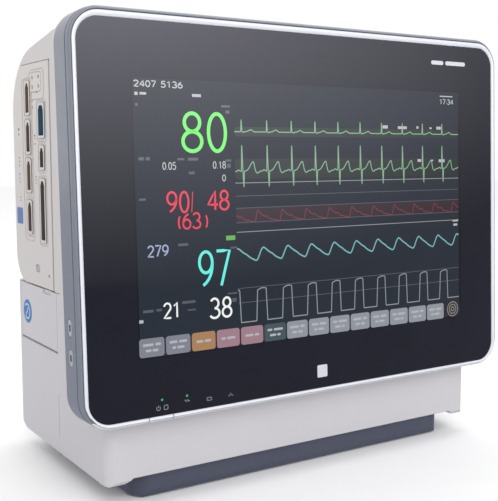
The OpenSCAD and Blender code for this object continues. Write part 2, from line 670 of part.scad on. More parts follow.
module equipotential_post() color([0.8, 0.68, 0.35]) {
    rod_y(rear_y - recess_depth - 8, rear_y - recess_depth + 12, post_x, inlet_z, 3);
    difference() {
        rod_y(rear_y - recess_depth + 0.05, rear_y - recess_depth + 3, post_x, inlet_z, 6.5, 6);
        rod_y(rear_y - recess_depth - 1, rear_y - recess_depth + 4, post_x, inlet_z, 3);
    }
}

// ---- Fasteners --------------------------------------------------------------------

module cover_screws() color([0.68, 0.69, 0.7]) for (x = cover_screw_x)
    screw_y(cover_rear_y - 20, cover_rear_y - 1.75, x, cover_screw_z, 1.5, 3.4);

module display_screws() color([0.68, 0.69, 0.7]) on_panel() for (u = [-1, 1], v = [-1, 1])
    screw_y(9, 16.25, u * 186, v * 120, 1.4, 3);

module board_screws() color([0.68, 0.69, 0.7]) for (x = post_xs, z = post_zs)
    screw_y(-46, -36.35, x, z, 1.4, 2.8);

front_rim();
front_glass();
glass_gasket();
front_frame();
lcd_module();
display_chassis();
display_back();
lcd_driver_board();
lcd_ribbon();
alarm_light_lens();
alarm_led_board();
status_light_pipes();
key_board();
power_key();
side_key_upper();
side_key_lower();
rear_cover();
grip_cup();
lower_housing();
main_chassis();
main_board();
board_heatsink();
power_supply();
speaker();
speaker_mesh();
battery_pack();
battery_contacts();
battery_door();
door_pin();
unit_case();
unit_back_plate();
unit_release_key();
amplifier_board();
cuff_pump();
dock_plug();
dock_socket();
multi_socket_1();
multi_socket_2();
multi_socket_3();
multi_socket_4();
oximeter_socket();
pressure_socket();
lead_socket();
temperature_jacks();
socket_pins();
port_plate();
network_port();
usb_ports();
video_port();
mains_inlet();
inlet_blades();
equipotential_post();
base_foot();
rubber_pads();
foot_screws();
cover_screws();
display_screws();
board_screws();
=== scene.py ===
"""Looks of a bedside patient monitor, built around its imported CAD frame.

Lengths are metres. The display leans back, so its pieces are laid out in panel
coordinates: u to the right, v up, d behind the glass surface.
"""
import json
import logging
import math
from dataclasses import dataclass, field
from enum import Enum

import bmesh
import bpy
import numpy as np
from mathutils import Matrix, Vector


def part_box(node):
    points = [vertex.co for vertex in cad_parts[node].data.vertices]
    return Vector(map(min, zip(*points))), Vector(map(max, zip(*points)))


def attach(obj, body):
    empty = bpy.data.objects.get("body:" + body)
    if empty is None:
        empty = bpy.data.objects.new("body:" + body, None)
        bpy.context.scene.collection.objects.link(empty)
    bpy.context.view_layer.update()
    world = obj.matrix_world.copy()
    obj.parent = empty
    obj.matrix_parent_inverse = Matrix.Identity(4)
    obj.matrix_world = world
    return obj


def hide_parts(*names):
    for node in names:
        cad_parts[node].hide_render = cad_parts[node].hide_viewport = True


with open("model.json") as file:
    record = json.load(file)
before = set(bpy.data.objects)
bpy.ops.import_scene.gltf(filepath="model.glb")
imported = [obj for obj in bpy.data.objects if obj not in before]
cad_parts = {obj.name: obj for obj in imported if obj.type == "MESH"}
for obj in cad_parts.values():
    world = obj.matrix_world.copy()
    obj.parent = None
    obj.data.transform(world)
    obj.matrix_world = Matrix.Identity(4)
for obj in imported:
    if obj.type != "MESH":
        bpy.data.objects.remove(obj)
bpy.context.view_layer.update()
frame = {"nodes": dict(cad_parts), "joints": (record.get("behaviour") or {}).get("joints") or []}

log = logging.getLogger("patient_monitor")
MM = 0.001
GLASS_T = 3 * MM
GLASS_V = -1.6 * MM
SOCKETS = ("multi_socket_1", "multi_socket_2", "multi_socket_3", "multi_socket_4", "oximeter_socket",
           "pressure_socket", "lead_socket")
Array = np.ndarray
Colour = tuple[float, float, float]


class Ink(Enum):
    """Colours of what the display shows, as lamp light."""

    GREEN = (0.16, 0.86, 0.13)
    PALE_GREEN = (0.22, 0.42, 0.24)
    TRACE_GREEN = (0.22, 0.40, 0.25)
    RED = (0.78, 0.035, 0.075)
    DARK_RED = (0.17, 0.03, 0.045)
    CYAN = (0.12, 0.80, 0.70)
    TRACE_CYAN = (0.16, 0.42, 0.44)
    WHITE = (0.80, 0.82, 0.80)
    SOFT_WHITE = (0.46, 0.49, 0.48)
    GREY = (0.26, 0.28, 0.29)
    DIM = (0.085, 0.09, 0.105)
    BLUE_GREY = (0.32, 0.38, 0.56)


class Layer(Enum):
    """Front and back of each flat layer on the glass or the case, in millimetres behind its surface."""

    DARK_EDGE = (-0.02, 0.001)
    WINDOW = (-0.03, 0.001)
    SIGN = (-0.05, 0.001)
    BADGE = (-0.06, 0.001)
    DARK_SIDE = (-0.075, 0.001)
    FIELD = (-0.05, -0.015)
    TINT = (-0.07, -0.056)
    SOFT_KEY = (-0.10, -0.06)
    RULE = (-0.11, -0.075)
    TRACE = (-0.12, -0.08)
    CAPTION = (-0.12, -0.06)
    FIGURE = (-0.13, -0.06)
    KEY_LABEL = (-0.13, -0.09)
    CASE_PRINT = (-0.05, 0.02)
    CASE_STICKER = (-0.08, 0.02)
    KEY_DOT = (-0.04, 0.03)
    DISC_MARK = (-0.46, -0.2)

    @property
    def depths(self) -> tuple[float, float]:
        """Returns the front and back depths in metres."""
        return self.value[0] * MM, self.value[1] * MM


# ---- Numpy shapes ------------------------------------------------------------


def turn_arc(centre: tuple[float, float], radii: tuple[float, float], start: float, end: float,
             count: int = 20) -> Array:
    """Points centre + (rx cos a, ry sin a) for a from start to end degrees.

    Returns:
        Array of shape (count, 2).
    """
    a = np.radians(np.linspace(start, end, count))
    return np.stack([centre[0] + radii[0] * np.cos(a), centre[1] + radii[1] * np.sin(a)], axis=1)


def rounded_outline(width: float, height: float, radius: float, middle: tuple[float, float] = (0.0, 0.0),
                    count: int = 9) -> Array:
    """Closed outline of a rectangle with quarter-circle corners, counter-clockwise.

    Returns:
        Array of shape (4 * count, 2).
    """
    x, y = width / 2 - radius, height / 2 - radius
    corners = ((x, y, 0), (-x, y, 90), (-x, -y, 180), (x, -y, 270))
    parts = [turn_arc((cx, cy), (radius, radius), a, a + 90, count) for cx, cy, a in corners]
    return np.concatenate(parts) + np.array(middle)


def bar_mm(u: float, v: float, width: float, height: float, radius: float = 0.25) -> Array:
    """Outline of a small rounded bar, from sizes in millimetres, centred on (u, v).

    Returns:
        Array of shape (12, 2), in metres.
    """
    return rounded_outline(width * MM, height * MM, radius * MM, (u * MM, v * MM), 3)


def polyline(*points: tuple[float, float]) -> Array:
    """Returns an array of shape (n, 2) from single points."""
    return np.array(points, float)


def bell(x: Array, middle: float, width: Array | float) -> Array:
    """Returns exp(-((x - middle) / width) squared)."""
    return np.exp(-((x - middle) / width) ** 2)


def make_object(name: str, points: Array, faces: list, smooth: bool = True) -> bpy.types.Object:
    """Puts vertices and faces in a new object at the origin.

    Args:
        name: the piece's name.
        points: array of shape (n, 3), in the row frame.
        faces: vertex indices of each face.
        smooth: whether faces are shaded smooth, with edges over 35 degrees kept sharp.

    Returns:
        The linked object.
    """
    mesh = bpy.data.meshes.new(name)
    mesh.from_pydata(np.asarray(points, float).tolist(), [], faces)
    mesh.validate()
    mesh.shade_smooth() if smooth else mesh.shade_flat()
    if smooth:
        mesh.set_sharp_from_angle(angle=math.radians(35))
    obj = bpy.data.objects.new(name, mesh)
    bpy.context.scene.collection.objects.link(obj)
    return obj


def grid_faces(rows: int, cols: int, close_rows: bool = False, close_cols: bool = False) -> list:
    """Quads over a rows x cols grid of points numbered row by row.

    Returns:
        List of faces, wrapping round where asked.
    """
    i = np.arange(rows if close_rows else rows - 1)
    j = np.arange(cols if close_cols else cols - 1)
    a, b = np.meshgrid(i, j, indexing="ij")
    c, d = (a + 1) % rows, (b + 1) % cols
    quads = np.stack([a * cols + b, a * cols + d, c * cols + d, c * cols + b], axis=-1)
    return quads.reshape(-1, 4).tolist()


def recalc(obj: bpy.types.Object) -> bpy.types.Object:
    """Turns a closed mesh's faces outwards.

    Returns:
        The same object.
    """
    work = bmesh.new()
    work.from_mesh(obj.data)
    bmesh.ops.remove_doubles(work, verts=work.verts, dist=1e-6)
    bmesh.ops.recalc_face_normals(work, faces=work.faces)
    work.to_mesh(obj.data)
    work.free()
    return obj


@dataclass(frozen=True)
class Plane:
    """A plane to lay flat pieces on: origin, two directions along it and the one into it."""

    origin: Array
    right: Array
    up: Array
    inward: Array

    def place(self, flat: Array, depth: Array | float) -> Array:
        """Point = origin + u right + v up + d inward.

        Returns:
            Array of shape (..., 3).
        """
        u, v = flat[..., :1], flat[..., 1:2]
        d = np.broadcast_to(np.asarray(depth, float)[..., None], u.shape)
        return self.origin + u * self.right + v * self.up + d * self.inward

    def slab(self, name: str, outline: Array, front: float, back: float) -> bpy.types.Object:
        """Returns one closed plate: the outline at depths front and back, joined by a wall."""
        return self.slabs(name, [outline], front, back)

    def slabs(self, name: str, outlines: list[Array], front: float, back: float) -> bpy.types.Object:
        """Several plates in one piece.

        Returns:
            The joined object.
        """
        points, faces, base = [], [], 0
        for outline in outlines:
            n = len(outline)
            points += [self.place(outline, front), self.place(outline, back)]
            faces.append([base + k for k in range(n)])
            faces.append([base + k for k in range(2 * n - 1, n - 1, -1)])
            faces += [[base + k for k in f] for f in grid_faces(2, n, close_cols=True)]
            base += 2 * n
        return recalc(make_object(name, np.concatenate(points), faces))

    def strokes(self, name: str, lines: list[Array], width: float, front: float,
                back: float) -> bpy.types.Object:
        """Flat ribbons of constant width along lines.

        Each cross-section is the line's point plus and minus half the width along the mitre of
        the two neighbouring directions, at the front and back depths.

        Returns:
            The ribbons as one object.
        """
        points, faces, base = [], [], 0
        for line in lines:
            step = np.gradient(line, axis=0)
            step /= np.maximum(np.linalg.norm(step, axis=1, keepdims=True), 1e-12)
            side = np.stack([-step[:, 1], step[:, 0]], axis=1) * width / 2
            ring = np.stack([self.place(line + side, front), self.place(line - side, front),
                             self.place(line - side, back), self.place(line + side, back)], axis=1)
            n = len(line)
            points.append(ring.reshape(-1, 3))
            faces += [[base + k for k in f] for f in grid_faces(n, 4, close_cols=True)]
            faces += [[base, base + 1, base + 2, base + 3],
                      [base + 4 * n - 1, base + 4 * n - 2, base + 4 * n - 3, base + 4 * n - 4]]
            base += 4 * n
        return recalc(make_object(name, np.concatenate(points), faces, smooth=False))

    def moulding(self, name: str, path: Array, profile: Array) -> bpy.types.Object:
        """A closed profile (offset, depth) carried round a closed path.

        Each ring's point is the path's point plus offset times the path's outward normal.

        Returns:
            The moulding's object.
        """
        step = np.roll(path, -1, axis=0) - np.roll(path, 1, axis=0)
        step /= np.linalg.norm(step, axis=1, keepdims=True)
        outward = np.stack([step[:, 1], -step[:, 0]], axis=1)
        flat = path[:, None, :] + profile[None, :, :1] * outward[:, None, :]
        depth = np.broadcast_to(profile[None, :, 1], flat.shape[:2])
        points = self.place(flat, depth).reshape(-1, 3)
        return recalc(make_object(name, points, grid_faces(len(path), len(profile), True, True)))


def panel_plane() -> Plane:
    """The leaning plane of the glass surface, from the glass's box and the power key's joint.

    Returns:
        A plane whose origin is the centre of the lit area.
    """
    press = next(j for j in frame["joints"] if j["name"] == "power_key_press")
    inward = np.array(press["axis"], float)
    inward /= np.linalg.norm(inward)
    right = np.array([1.0, 0.0, 0.0])
    up = np.cross(right, inward)
    low, high = (np.array(v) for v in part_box("front_glass"))
    middle = (low + high) / 2
    return Plane(middle - inward * GLASS_T / 2 - up * GLASS_V, right, up, inward)


def flank_plane() -> Plane:
    """The outer face of the housing on the -X side: u runs to the back, v up, d into the housing.

    Returns:
        A plane through X of the face, with Y and Z from zero.
    """
    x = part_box("lower_housing")[0][0]
    return Plane(np.array([x, 0, 0]), np.array([0.0, 1.0, 0.0]), np.array([0.0, 0.0, 1.0]),
                 np.array([1.0, 0.0, 0.0]))


PANEL = panel_plane()
FLANK = flank_plane()


# ---- Effects shared by the finishes -------------------------------------------


class Effect:
    """Builds the node groups that several materials use."""

    made: dict[str, bpy.types.NodeTree] = {}

    @classmethod
    def _start(cls, name: str, inputs: dict, outputs: dict) -> tuple:
        """Opens a group with the given sockets.

        Returns:
            The tree, its input node and its output node.
        """
        tree = bpy.data.node_groups.new(name, "ShaderNodeTree")
        for label, (kind, value) in inputs.items():
            socket = tree.interface.new_socket(label, in_out="INPUT", socket_type=kind)
            socket.default_value = value
        for label, kind in outputs.items():
            tree.interface.new_socket(label, in_out="OUTPUT", socket_type=kind)
        cls.made[name] = tree
        return tree, tree.nodes.new("NodeGroupInput"), tree.nodes.new("NodeGroupOutput")

    @classmethod
    def moulded(cls) -> bpy.types.NodeTree:
        """Moulded skin: cloudy shade, fine spark texture and a painted highlight, a lighter colour mixed in
        along the edges that the Bevel node finds.

        Returns:
            The group "Moulded skin".
        """
        if "Moulded skin" in cls.made:
            return cls.made["Moulded skin"]
        tree, gin, gout = cls._start("Moulded skin", {
            "Colour": ("NodeSocketColor", (0.5, 0.5, 0.5, 1)),
            "Edge Colour": ("NodeSocketColor", (0.8, 0.8, 0.8, 1)),
            "Cloud": ("NodeSocketFloat", 0.04), "Roughness": ("NodeSocketFloat", 0.45),
            "Texture": ("NodeSocketFloat", 0.15), "Edge": ("NodeSocketFloat", 0.35),
            "Dust": ("NodeSocketFloat", 0.0)},
            {"Colour": "NodeSocketColor", "Roughness": "NodeSocketFloat", "Normal": "NodeSocketVector"})
        add, link = tree.nodes.new, tree.links.new
        where = add("ShaderNodeTexCoord")
        cloud = noise(tree, where.outputs["Object"], 9.0, 3.0)
        spark = noise(tree, where.outputs["Object"], 2600.0, 2.0)
        blotch = noise(tree, where.outputs["Object"], 55.0, 4.0)
        swing = math_node(tree, "MULTIPLY_ADD", cloud, 2.0, -1.0)
        amount = math_node(tree, "MULTIPLY", swing, gin.outputs["Cloud"])
        value = math_node(tree, "ADD", amount, 1.0)
        shade = add("ShaderNodeHueSaturation")
        link(gin.outputs["Colour"], shade.inputs["Color"])
        link(value, shade.inputs["Value"])
        soft = add("ShaderNodeBevel")
        soft.samples = 4
        soft.inputs["Radius"].default_value = 0.0011
        plain = add("ShaderNodeNewGeometry")
        dot = add("ShaderNodeVectorMath")
        dot.operation = "DOT_PRODUCT"
        link(soft.outputs["Normal"], dot.inputs[0])
        link(plain.outputs["Normal"], dot.inputs[1])
        # Painted highlight: where the Bevel normal turns away from the true normal, the colour is mixed
        # towards the lighter highlight colour.
        bend = math_node(tree, "SUBTRACT", 1.0, dot.outputs["Value"])
        edge = math_node(tree, "MULTIPLY", bend, 4.0, clamp=True)
        highlight_amount = math_node(tree, "MULTIPLY", edge, gin.outputs["Edge"])
        highlighted_colour = mix_colour(tree, highlight_amount, shade.outputs["Color"], gin.outputs["Edge Colour"])
        split = add("ShaderNodeSeparateXYZ")
        link(plain.outputs["Normal"], split.inputs[0])
        top = math_node(tree, "MULTIPLY", split.outputs["Z"], blotch, clamp=True)
        dusty = math_node(tree, "MULTIPLY", top, gin.outputs["Dust"])
        final = mix_colour(tree, dusty, highlighted_colour, (0.62, 0.60, 0.56, 1))
        rough_swing = math_node(tree, "MULTIPLY_ADD", blotch, 0.16, -0.08)
        rough = math_node(tree, "ADD", gin.outputs["Roughness"], rough_swing)
        rough_dust = math_node(tree, "ADD", rough, dusty, clamp=True)
        bump = add("ShaderNodeBump")
        bump.inputs["Distance"].default_value = 0.00025
        link(gin.outputs["Texture"], bump.inputs["Strength"])
        link(spark, bump.inputs["Height"])
        link(soft.outputs["Normal"], bump.inputs["Normal"])
        link(final, gout.inputs["Colour"])
        link(rough_dust, gout.inputs["Roughness"])
        link(bump.outputs["Normal"], gout.inputs["Normal"])
        return tree

    @classmethod
    def brushed(cls) -> bpy.types.NodeTree:
        """Rolled or brushed metal: long fine scratches and cloudy oxide.

        Returns:
            The group "Brushed metal".
        """
        if "Brushed metal" in cls.made:
            return cls.made["Brushed metal"]
        tree, gin, gout = cls._start("Brushed metal", {
            "Colour": ("NodeSocketColor", (0.6, 0.6, 0.6, 1)), "Roughness": ("NodeSocketFloat", 0.35),
            "Scratch": ("NodeSocketFloat", 0.2)},
            {"Colour": "NodeSocketColor", "Roughness": "NodeSocketFloat", "Height": "NodeSocketFloat"})
        add, link = tree.nodes.new, tree.links.new
        where = add("ShaderNodeTexCoord")
        stretch = add("ShaderNodeMapping")
        stretch.inputs["Scale"].default_value = (60.0, 1400.0, 1400.0)
        link(where.outputs["Object"], stretch.inputs["Vector"])
        lines = noise(tree, stretch.outputs["Vector"], 1.0, 2.0)
        oxide = noise(tree, where.outputs["Object"], 34.0, 4.0)
        shade = add("ShaderNodeHueSaturation")
        link(gin.outputs["Colour"], shade.inputs["Color"])
        link(math_node(tree, "MULTIPLY_ADD", oxide, 0.3, 0.85), shade.inputs["Value"])
        swing = math_node(tree, "MULTIPLY_ADD", lines, 0.4, -0.2)
        spread = math_node(tree, "MULTIPLY", swing, gin.outputs["Scratch"])
        link(shade.outputs["Color"], gout.inputs["Colour"])
        link(math_node(tree, "ADD", gin.outputs["Roughness"], spread, clamp=True), gout.inputs["Roughness"])
        link(lines, gout.inputs["Height"])
        return tree


def noise(tree: bpy.types.NodeTree, vector: bpy.types.NodeSocket, scale: float,
          detail: float) -> bpy.types.NodeSocket:
    """Adds a noise texture and returns its value socket."""
    node = tree.nodes.new("ShaderNodeTexNoise")
    node.inputs["Scale"].default_value = scale
    node.inputs["Detail"].default_value = detail
    tree.links.new(vector, node.inputs["Vector"])
    return node.outputs["Fac"]


def math_node(tree: bpy.types.NodeTree, kind: str, *values: object,
              clamp: bool = False) -> bpy.types.NodeSocket:
    """Adds a Math node; each value is a number or a socket. Returns its output socket."""
    node = tree.nodes.new("ShaderNodeMath")
    node.operation = kind
    node.use_clamp = clamp
    for k, value in enumerate(values):
        if isinstance(value, (int, float)):
            node.inputs[k].default_value = value
        else:
            tree.links.new(value, node.inputs[k])
    return node.outputs[0]


def mix_colour(tree: bpy.types.NodeTree, factor: object, first: object,
               second: object) -> bpy.types.NodeSocket:
    """Mixes two colours by a factor; each is a value or a socket. Returns the colour socket."""
    node = tree.nodes.new("ShaderNodeMix")
    node.data_type = "RGBA"
    for socket, value in ((node.inputs[0], factor), (node.inputs[6], first), (node.inputs[7], second)):
        if isinstance(value, (float, tuple)):
            socket.default_value = value
        else:
            tree.links.new(value, socket)
    return node.outputs[2]


# ---- Finishes -----------------------------------------------------------------


def blank(name: str) -> tuple[bpy.types.Material, bpy.types.Node]:
    """A new node material.

    Returns:
        The material and its Principled node.
    """
    material = bpy.data.materials.new(name)
    material.use_nodes = True
    return material, material.node_tree.nodes["Principled BSDF"]


@dataclass(frozen=True)
class Moulding:
    """Injection-moulded plastic with a spark-eroded skin and a painted highlight along its edges."""

    name: str
    colour: Colour
    roughness: float = 0.42
    texture: float = 0.12
    cloud: float = 0.03
    # Strength of the painted highlight along edges.
    edge: float = 0.3
    dust: float = 0.0
    coat: float = 0.0
    specular: float = 0.5

    def build(self) -> bpy.types.Material:
        """Returns the finished material."""
        material, shader = blank(self.name)
        tree = material.node_tree
        skin = tree.nodes.new("ShaderNodeGroup")
        skin.node_tree = Effect.moulded()
        # Colour of the painted highlight along edges, lighter than the plastic.
        highlight_colour = tuple(min(1.0, c * 1.25 + 0.03) for c in self.colour)
        skin.inputs["Colour"].default_value = (*self.colour, 1)
        skin.inputs["Edge Colour"].default_value = (*highlight_colour, 1)
        skin.inputs["Cloud"].default_value = self.cloud
        skin.inputs["Roughness"].default_value = self.roughness
        skin.inputs["Texture"].default_value = self.texture
        skin.inputs["Edge"].default_value = self.edge
        skin.inputs["Dust"].default_value = self.dust
        tree.links.new(skin.outputs["Colour"], shader.inputs["Base Color"])
        tree.links.new(skin.outputs["Roughness"], shader.inputs["Roughness"])
        tree.links.new(skin.outputs["Normal"], shader.inputs["Normal"])
        shader.inputs["Coat Weight"].default_value = self.coat
        shader.inputs["Coat Roughness"].default_value = 0.12
        shader.inputs["Specular IOR Level"].default_value = self.specular
        return material


@dataclass(frozen=True)
class Metal:
    """Bare or plated metal with fine rolling marks."""

    name: str
    colour: Colour
    roughness: float = 0.32
    scratch: float = 0.3
    bump: float = 0.08

    def build(self) -> bpy.types.Material:
        """Returns the finished material."""
        material, shader = blank(self.name)
        tree = material.node_tree
        skin = tree.nodes.new("ShaderNodeGroup")
        skin.node_tree = Effect.brushed()
        skin.inputs["Colour"].default_value = (*self.colour, 1)
        skin.inputs["Roughness"].default_value = self.roughness
        skin.inputs["Scratch"].default_value = self.scratch
        bump = tree.nodes.new("ShaderNodeBump")
        bump.inputs["Strength"].default_value = self.bump
        bump.inputs["Distance"].default_value = 0.0002
        tree.links.new(skin.outputs["Height"], bump.inputs["Height"])
        tree.links.new(skin.outputs["Colour"], shader.inputs["Base Color"])
        tree.links.new(skin.outputs["Roughness"], shader.inputs["Roughness"])
        tree.links.new(bump.outputs["Normal"], shader.inputs["Normal"])
        shader.inputs["Metallic"].default_value = 1.0
        return material


@dataclass(frozen=True)
class BlackGlass:
    """Toughened glass printed black behind, with a faint haze of smears."""

    name: str
    colour: Colour
    glow: Colour = (0.0, 0.0, 0.0)
    roughness: float = 0.06

    def build(self) -> bpy.types.Material:
        """Returns the finished material."""
        material, shader = blank(self.name)
        tree = material.node_tree
        where = tree.nodes.new("ShaderNodeTexCoord")
        smear = noise(tree, where.outputs["Object"], 14.0, 5.0)
        rough = math_node(tree, "MULTIPLY_ADD", smear, 0.07, self.roughness - 0.03)
        haze = math_node(tree, "MULTIPLY", smear, 0.06)
        colour = mix_colour(tree, haze, (*self.colour, 1), (0.07, 0.07, 0.10, 1))
        tree.links.new(colour, shader.inputs["Base Color"])
        tree.links.new(rough, shader.inputs["Roughness"])
        shader.inputs["IOR"].default_value = 1.38
        if max(self.glow) > 0:
            level = math_node(tree, "MULTIPLY_ADD", smear, 0.16, 0.92)
            shade = tree.nodes.new("ShaderNodeHueSaturation")
            shade.inputs["Color"].default_value = (*self.glow, 1)
            tree.links.new(level, shade.inputs["Value"])
            tree.links.new(shade.outputs["Color"], shader.inputs["Emission Color"])
            shader.inputs["Emission Strength"].default_value = 1.0
        return material


@dataclass(frozen=True)
class Lit:
    """A lit figure or line seen under the cover glass."""

    name: str
    colour: Colour
    strength: float = 0.85
    flicker: float = 0.08

    def build(self) -> bpy.types.Material:
        """Returns the finished material, whose glow varies a little from place to place."""
        material, shader = blank(self.name)
        tree = material.node_tree
        where = tree.nodes.new("ShaderNodeTexCoord")
        grain = noise(tree, where.outputs["Object"], 900.0, 1.0)
        level = math_node(tree, "MULTIPLY_ADD", grain, self.flicker * 2, 1 - self.flicker)
        shade = tree.nodes.new("ShaderNodeHueSaturation")
        shade.inputs["Color"].default_value = (*self.colour, 1)
        tree.links.new(level, shade.inputs["Value"])
        tree.links.new(shade.outputs["Color"], shader.inputs["Emission Color"])
        shader.inputs["Base Color"].default_value = (*(c * 0.2 for c in self.colour), 1)
        shader.inputs["Emission Strength"].default_value = self.strength
        shader.inputs["Roughness"].default_value = 0.08
        return material


@dataclass(frozen=True)
class Print:
    """Ink or film printed on a surface, with slightly uneven cover."""

    name: str
    colour: Colour
    roughness: float = 0.4

    def build(self) -> bpy.types.Material:
        """Returns the finished material."""
        material, shader = blank(self.name)
        tree = material.node_tree
        where = tree.nodes.new("ShaderNodeTexCoord")
        cover = noise(tree, where.outputs["Object"], 420.0, 3.0)
        paler = tuple(min(1.0, c * 1.18 + 0.015) for c in self.colour)
        colour = mix_colour(tree, cover, (*self.colour, 1), (*paler, 1))
        tree.links.new(colour, shader.inputs["Base Color"])
        rough = math_node(tree, "MULTIPLY_ADD", cover, 0.12, self.roughness - 0.06)
        tree.links.new(rough, shader.inputs["Roughness"])
        return material


@dataclass(frozen=True)
class Board:
    """Circuit board: solder mask with copper traces and pale pads."""

    name: str
    colour: Colour = (0.02, 0.16, 0.07)

    def build(self) -> bpy.types.Material:
        """Returns the finished material."""
        material, shader = blank(self.name)
        tree = material.node_tree
        where = tree.nodes.new("ShaderNodeTexCoord")
        brick = tree.nodes.new("ShaderNodeTexBrick")
        brick.inputs["Scale"].default_value = 320.0
        brick.inputs["Mortar Size"].default_value = 0.05
        brick.inputs["Color1"].default_value = (*self.colour, 1)
        brick.inputs["Color2"].default_value = (self.colour[0], self.colour[1] * 0.75, self.colour[2], 1)
        brick.inputs["Mortar"].default_value = (0.10, 0.28, 0.12, 1)
        tree.links.new(where.outputs["Object"], brick.inputs["Vector"])
        tree.links.new(brick.outputs["Color"], shader.inputs["Base Color"])
        rough = math_node(tree, "MULTIPLY_ADD", brick.outputs["Fac"], 0.2, 0.3)
        tree.links.new(rough, shader.inputs["Roughness"])
        bump = tree.nodes.new("ShaderNodeBump")
        bump.inputs["Strength"].default_value = 0.2
        bump.inputs["Distance"].default_value = 0.0002
        tree.links.new(brick.outputs["Fac"], bump.inputs["Height"])
        tree.links.new(bump.outputs["Normal"], shader.inputs["Normal"])
        return material


@dataclass(frozen=True)
class Lens:
    """Clear or frosted plastic that light passes through."""

    name: str
    colour: Colour
    roughness: float = 0.25

    def build(self) -> bpy.types.Material:
        """Returns the finished material."""
        material, shader = blank(self.name)
        tree = material.node_tree
        where = tree.nodes.new("ShaderNodeTexCoord")
        frost = noise(tree, where.outputs["Object"], 700.0, 2.0)
        rough = math_node(tree, "MULTIPLY_ADD", frost, 0.2, self.roughness - 0.1)
        tree.links.new(rough, shader.inputs["Roughness"])
        shader.inputs["Base Color"].default_value = (*self.colour, 1)
        shader.inputs["Transmission Weight"].default_value = 0.6
        shader.inputs["IOR"].default_value = 1.49
        return material


class Finishes:
    """Every finish of the monitor, built once and looked up by name."""

    def __init__(self) -> None:
        """Builds all materials."""
        recipes = [
            # Moulding arguments after the colour: roughness, texture, cloud, then the strength of the
            # painted edge highlight.
            Moulding("rim_silver", (0.70, 0.71, 0.77), 0.26, 0.03, 0.015, 0.2, coat=0.4),
            Moulding("frame_paint", (0.17, 0.185, 0.225), 0.34, 0.05, 0.03, 0.5, dust=0.04, coat=0.25),
            Moulding("rim_groove", (0.10, 0.11, 0.135), 0.5, 0.05, 0.03, 0.1),
            Moulding("cover_shell", (0.56, 0.54, 0.53), 0.5, 0.16, 0.02, 0.25, dust=0.12),
            Moulding("housing_shell", (0.545, 0.53, 0.55), 0.48, 0.14, 0.02, 0.25, dust=0.08),
            Moulding("unit_shell", (0.575, 0.545, 0.53), 0.45, 0.12, 0.02, 0.3, dust=0.06),
            Moulding("key_cap", (0.36, 0.375, 0.42), 0.4, 0.08, 0.03, 0.6),
            Moulding("dark_moulding", (0.035, 0.037, 0.043), 0.5, 0.2, 0.08, 0.3, dust=0.1),
            Moulding("grip_liner", (0.10, 0.105, 0.12), 0.55, 0.3, 0.06, 0.25, dust=0.2),
            Moulding("foot_moulding", (0.058, 0.064, 0.098), 0.42, 0.12, 0.05, 0.35, dust=0.05),
            Moulding("pad_rubber", (0.018, 0.018, 0.02), 0.75, 0.35, 0.1, 0.15),
            Moulding("socket_tan", (0.20, 0.125, 0.085), 0.5, 0.1, 0.05, 0.2),
            Moulding("socket_brown", (0.155, 0.105, 0.088), 0.5, 0.1, 0.05, 0.2),
            Moulding("socket_blue", (0.05, 0.125, 0.185), 0.42, 0.08, 0.05, 0.3),
            Moulding("socket_grey", (0.105, 0.10, 0.098), 0.5, 0.1, 0.05, 0.3),
            Moulding("video_blue", (0.03, 0.075, 0.36), 0.4, 0.08, 0.05, 0.3),
            Moulding("ribbon_film", (0.50, 0.30, 0.09), 0.35, 0.02, 0.08, 0.1),
            Moulding("speaker_cloth", (0.03, 0.03, 0.033), 0.85, 0.6, 0.1, 0.0),
            Metal("sheet_steel", (0.56, 0.57, 0.58), 0.38, 0.4),
            Metal("fin_aluminium", (0.60, 0.61, 0.63), 0.34, 0.5),
            Metal("screw_steel", (0.55, 0.55, 0.56), 0.28, 0.3),
            Metal("port_plating", (0.66, 0.67, 0.68), 0.2, 0.2),
            Metal("gold_contact", (0.75, 0.52, 0.18), 0.22, 0.2),
            Metal("post_brass", (0.66, 0.50, 0.20), 0.25, 0.3),
            BlackGlass("glass_border", (0.005, 0.005, 0.010)),
            BlackGlass("glass_lit_field", (0.005, 0.006, 0.010), (0.008, 0.013, 0.017)),
            BlackGlass("glass_dark_edge", (0.002, 0.002, 0.003)),
            BlackGlass("lamp_window", (0.004, 0.004, 0.005)),
            Board("circuit_board"),
            Lens("clear_lens", (0.82, 0.86, 0.86)),
            Print("pale_print", (0.19, 0.20, 0.21)),
            Print("dark_print", (0.10, 0.10, 0.11)),
            Print("blue_print", (0.07, 0.14, 0.36)),
            Print("faint_print", (0.27, 0.29, 0.42)),
            Print("blue_disc", (0.025, 0.15, 0.42), 0.3),
            Print("white_print", (0.50, 0.52, 0.56)),
        ]
        recipes += [Lit(f"lit_{ink.name.lower()}", ink.value) for ink in Ink]
        recipes += [Lit("lit_key_grey", (0.25, 0.265, 0.30)), Lit("lit_key_orange", (0.36, 0.19, 0.085)),
                    Lit("lit_key_pink", (0.31, 0.18, 0.22)), Lit("lit_key_teal", (0.045, 0.075, 0.085)),
                    Lit("lit_key_slate", (0.19, 0.20, 0.235)), Lit("lit_key_label", (0.40, 0.41, 0.44)),
                    Lit("artery_tint", (0.024, 0.009, 0.014)), Lit("heart_tint", (0.003, 0.012, 0.007)),
                    Lit("lit_caption", (0.42, 0.44, 0.45)), Lit("lit_flag", (0.12, 0.40, 0.08)),
                    Lit("lit_dial", (0.23, 0.20, 0.17)), Lit("lamp_green", (0.05, 0.40, 0.10))]
        self.by_name = {r.name: r.build() for r in recipes}

    def dress(self, obj: bpy.types.Object, name: str) -> bpy.types.Object:
        """Puts one finish on every face of a piece.

        Returns:
            The same object.
        """
        obj.data.materials.clear()
        obj.data.materials.append(self.by_name[name])
        return obj


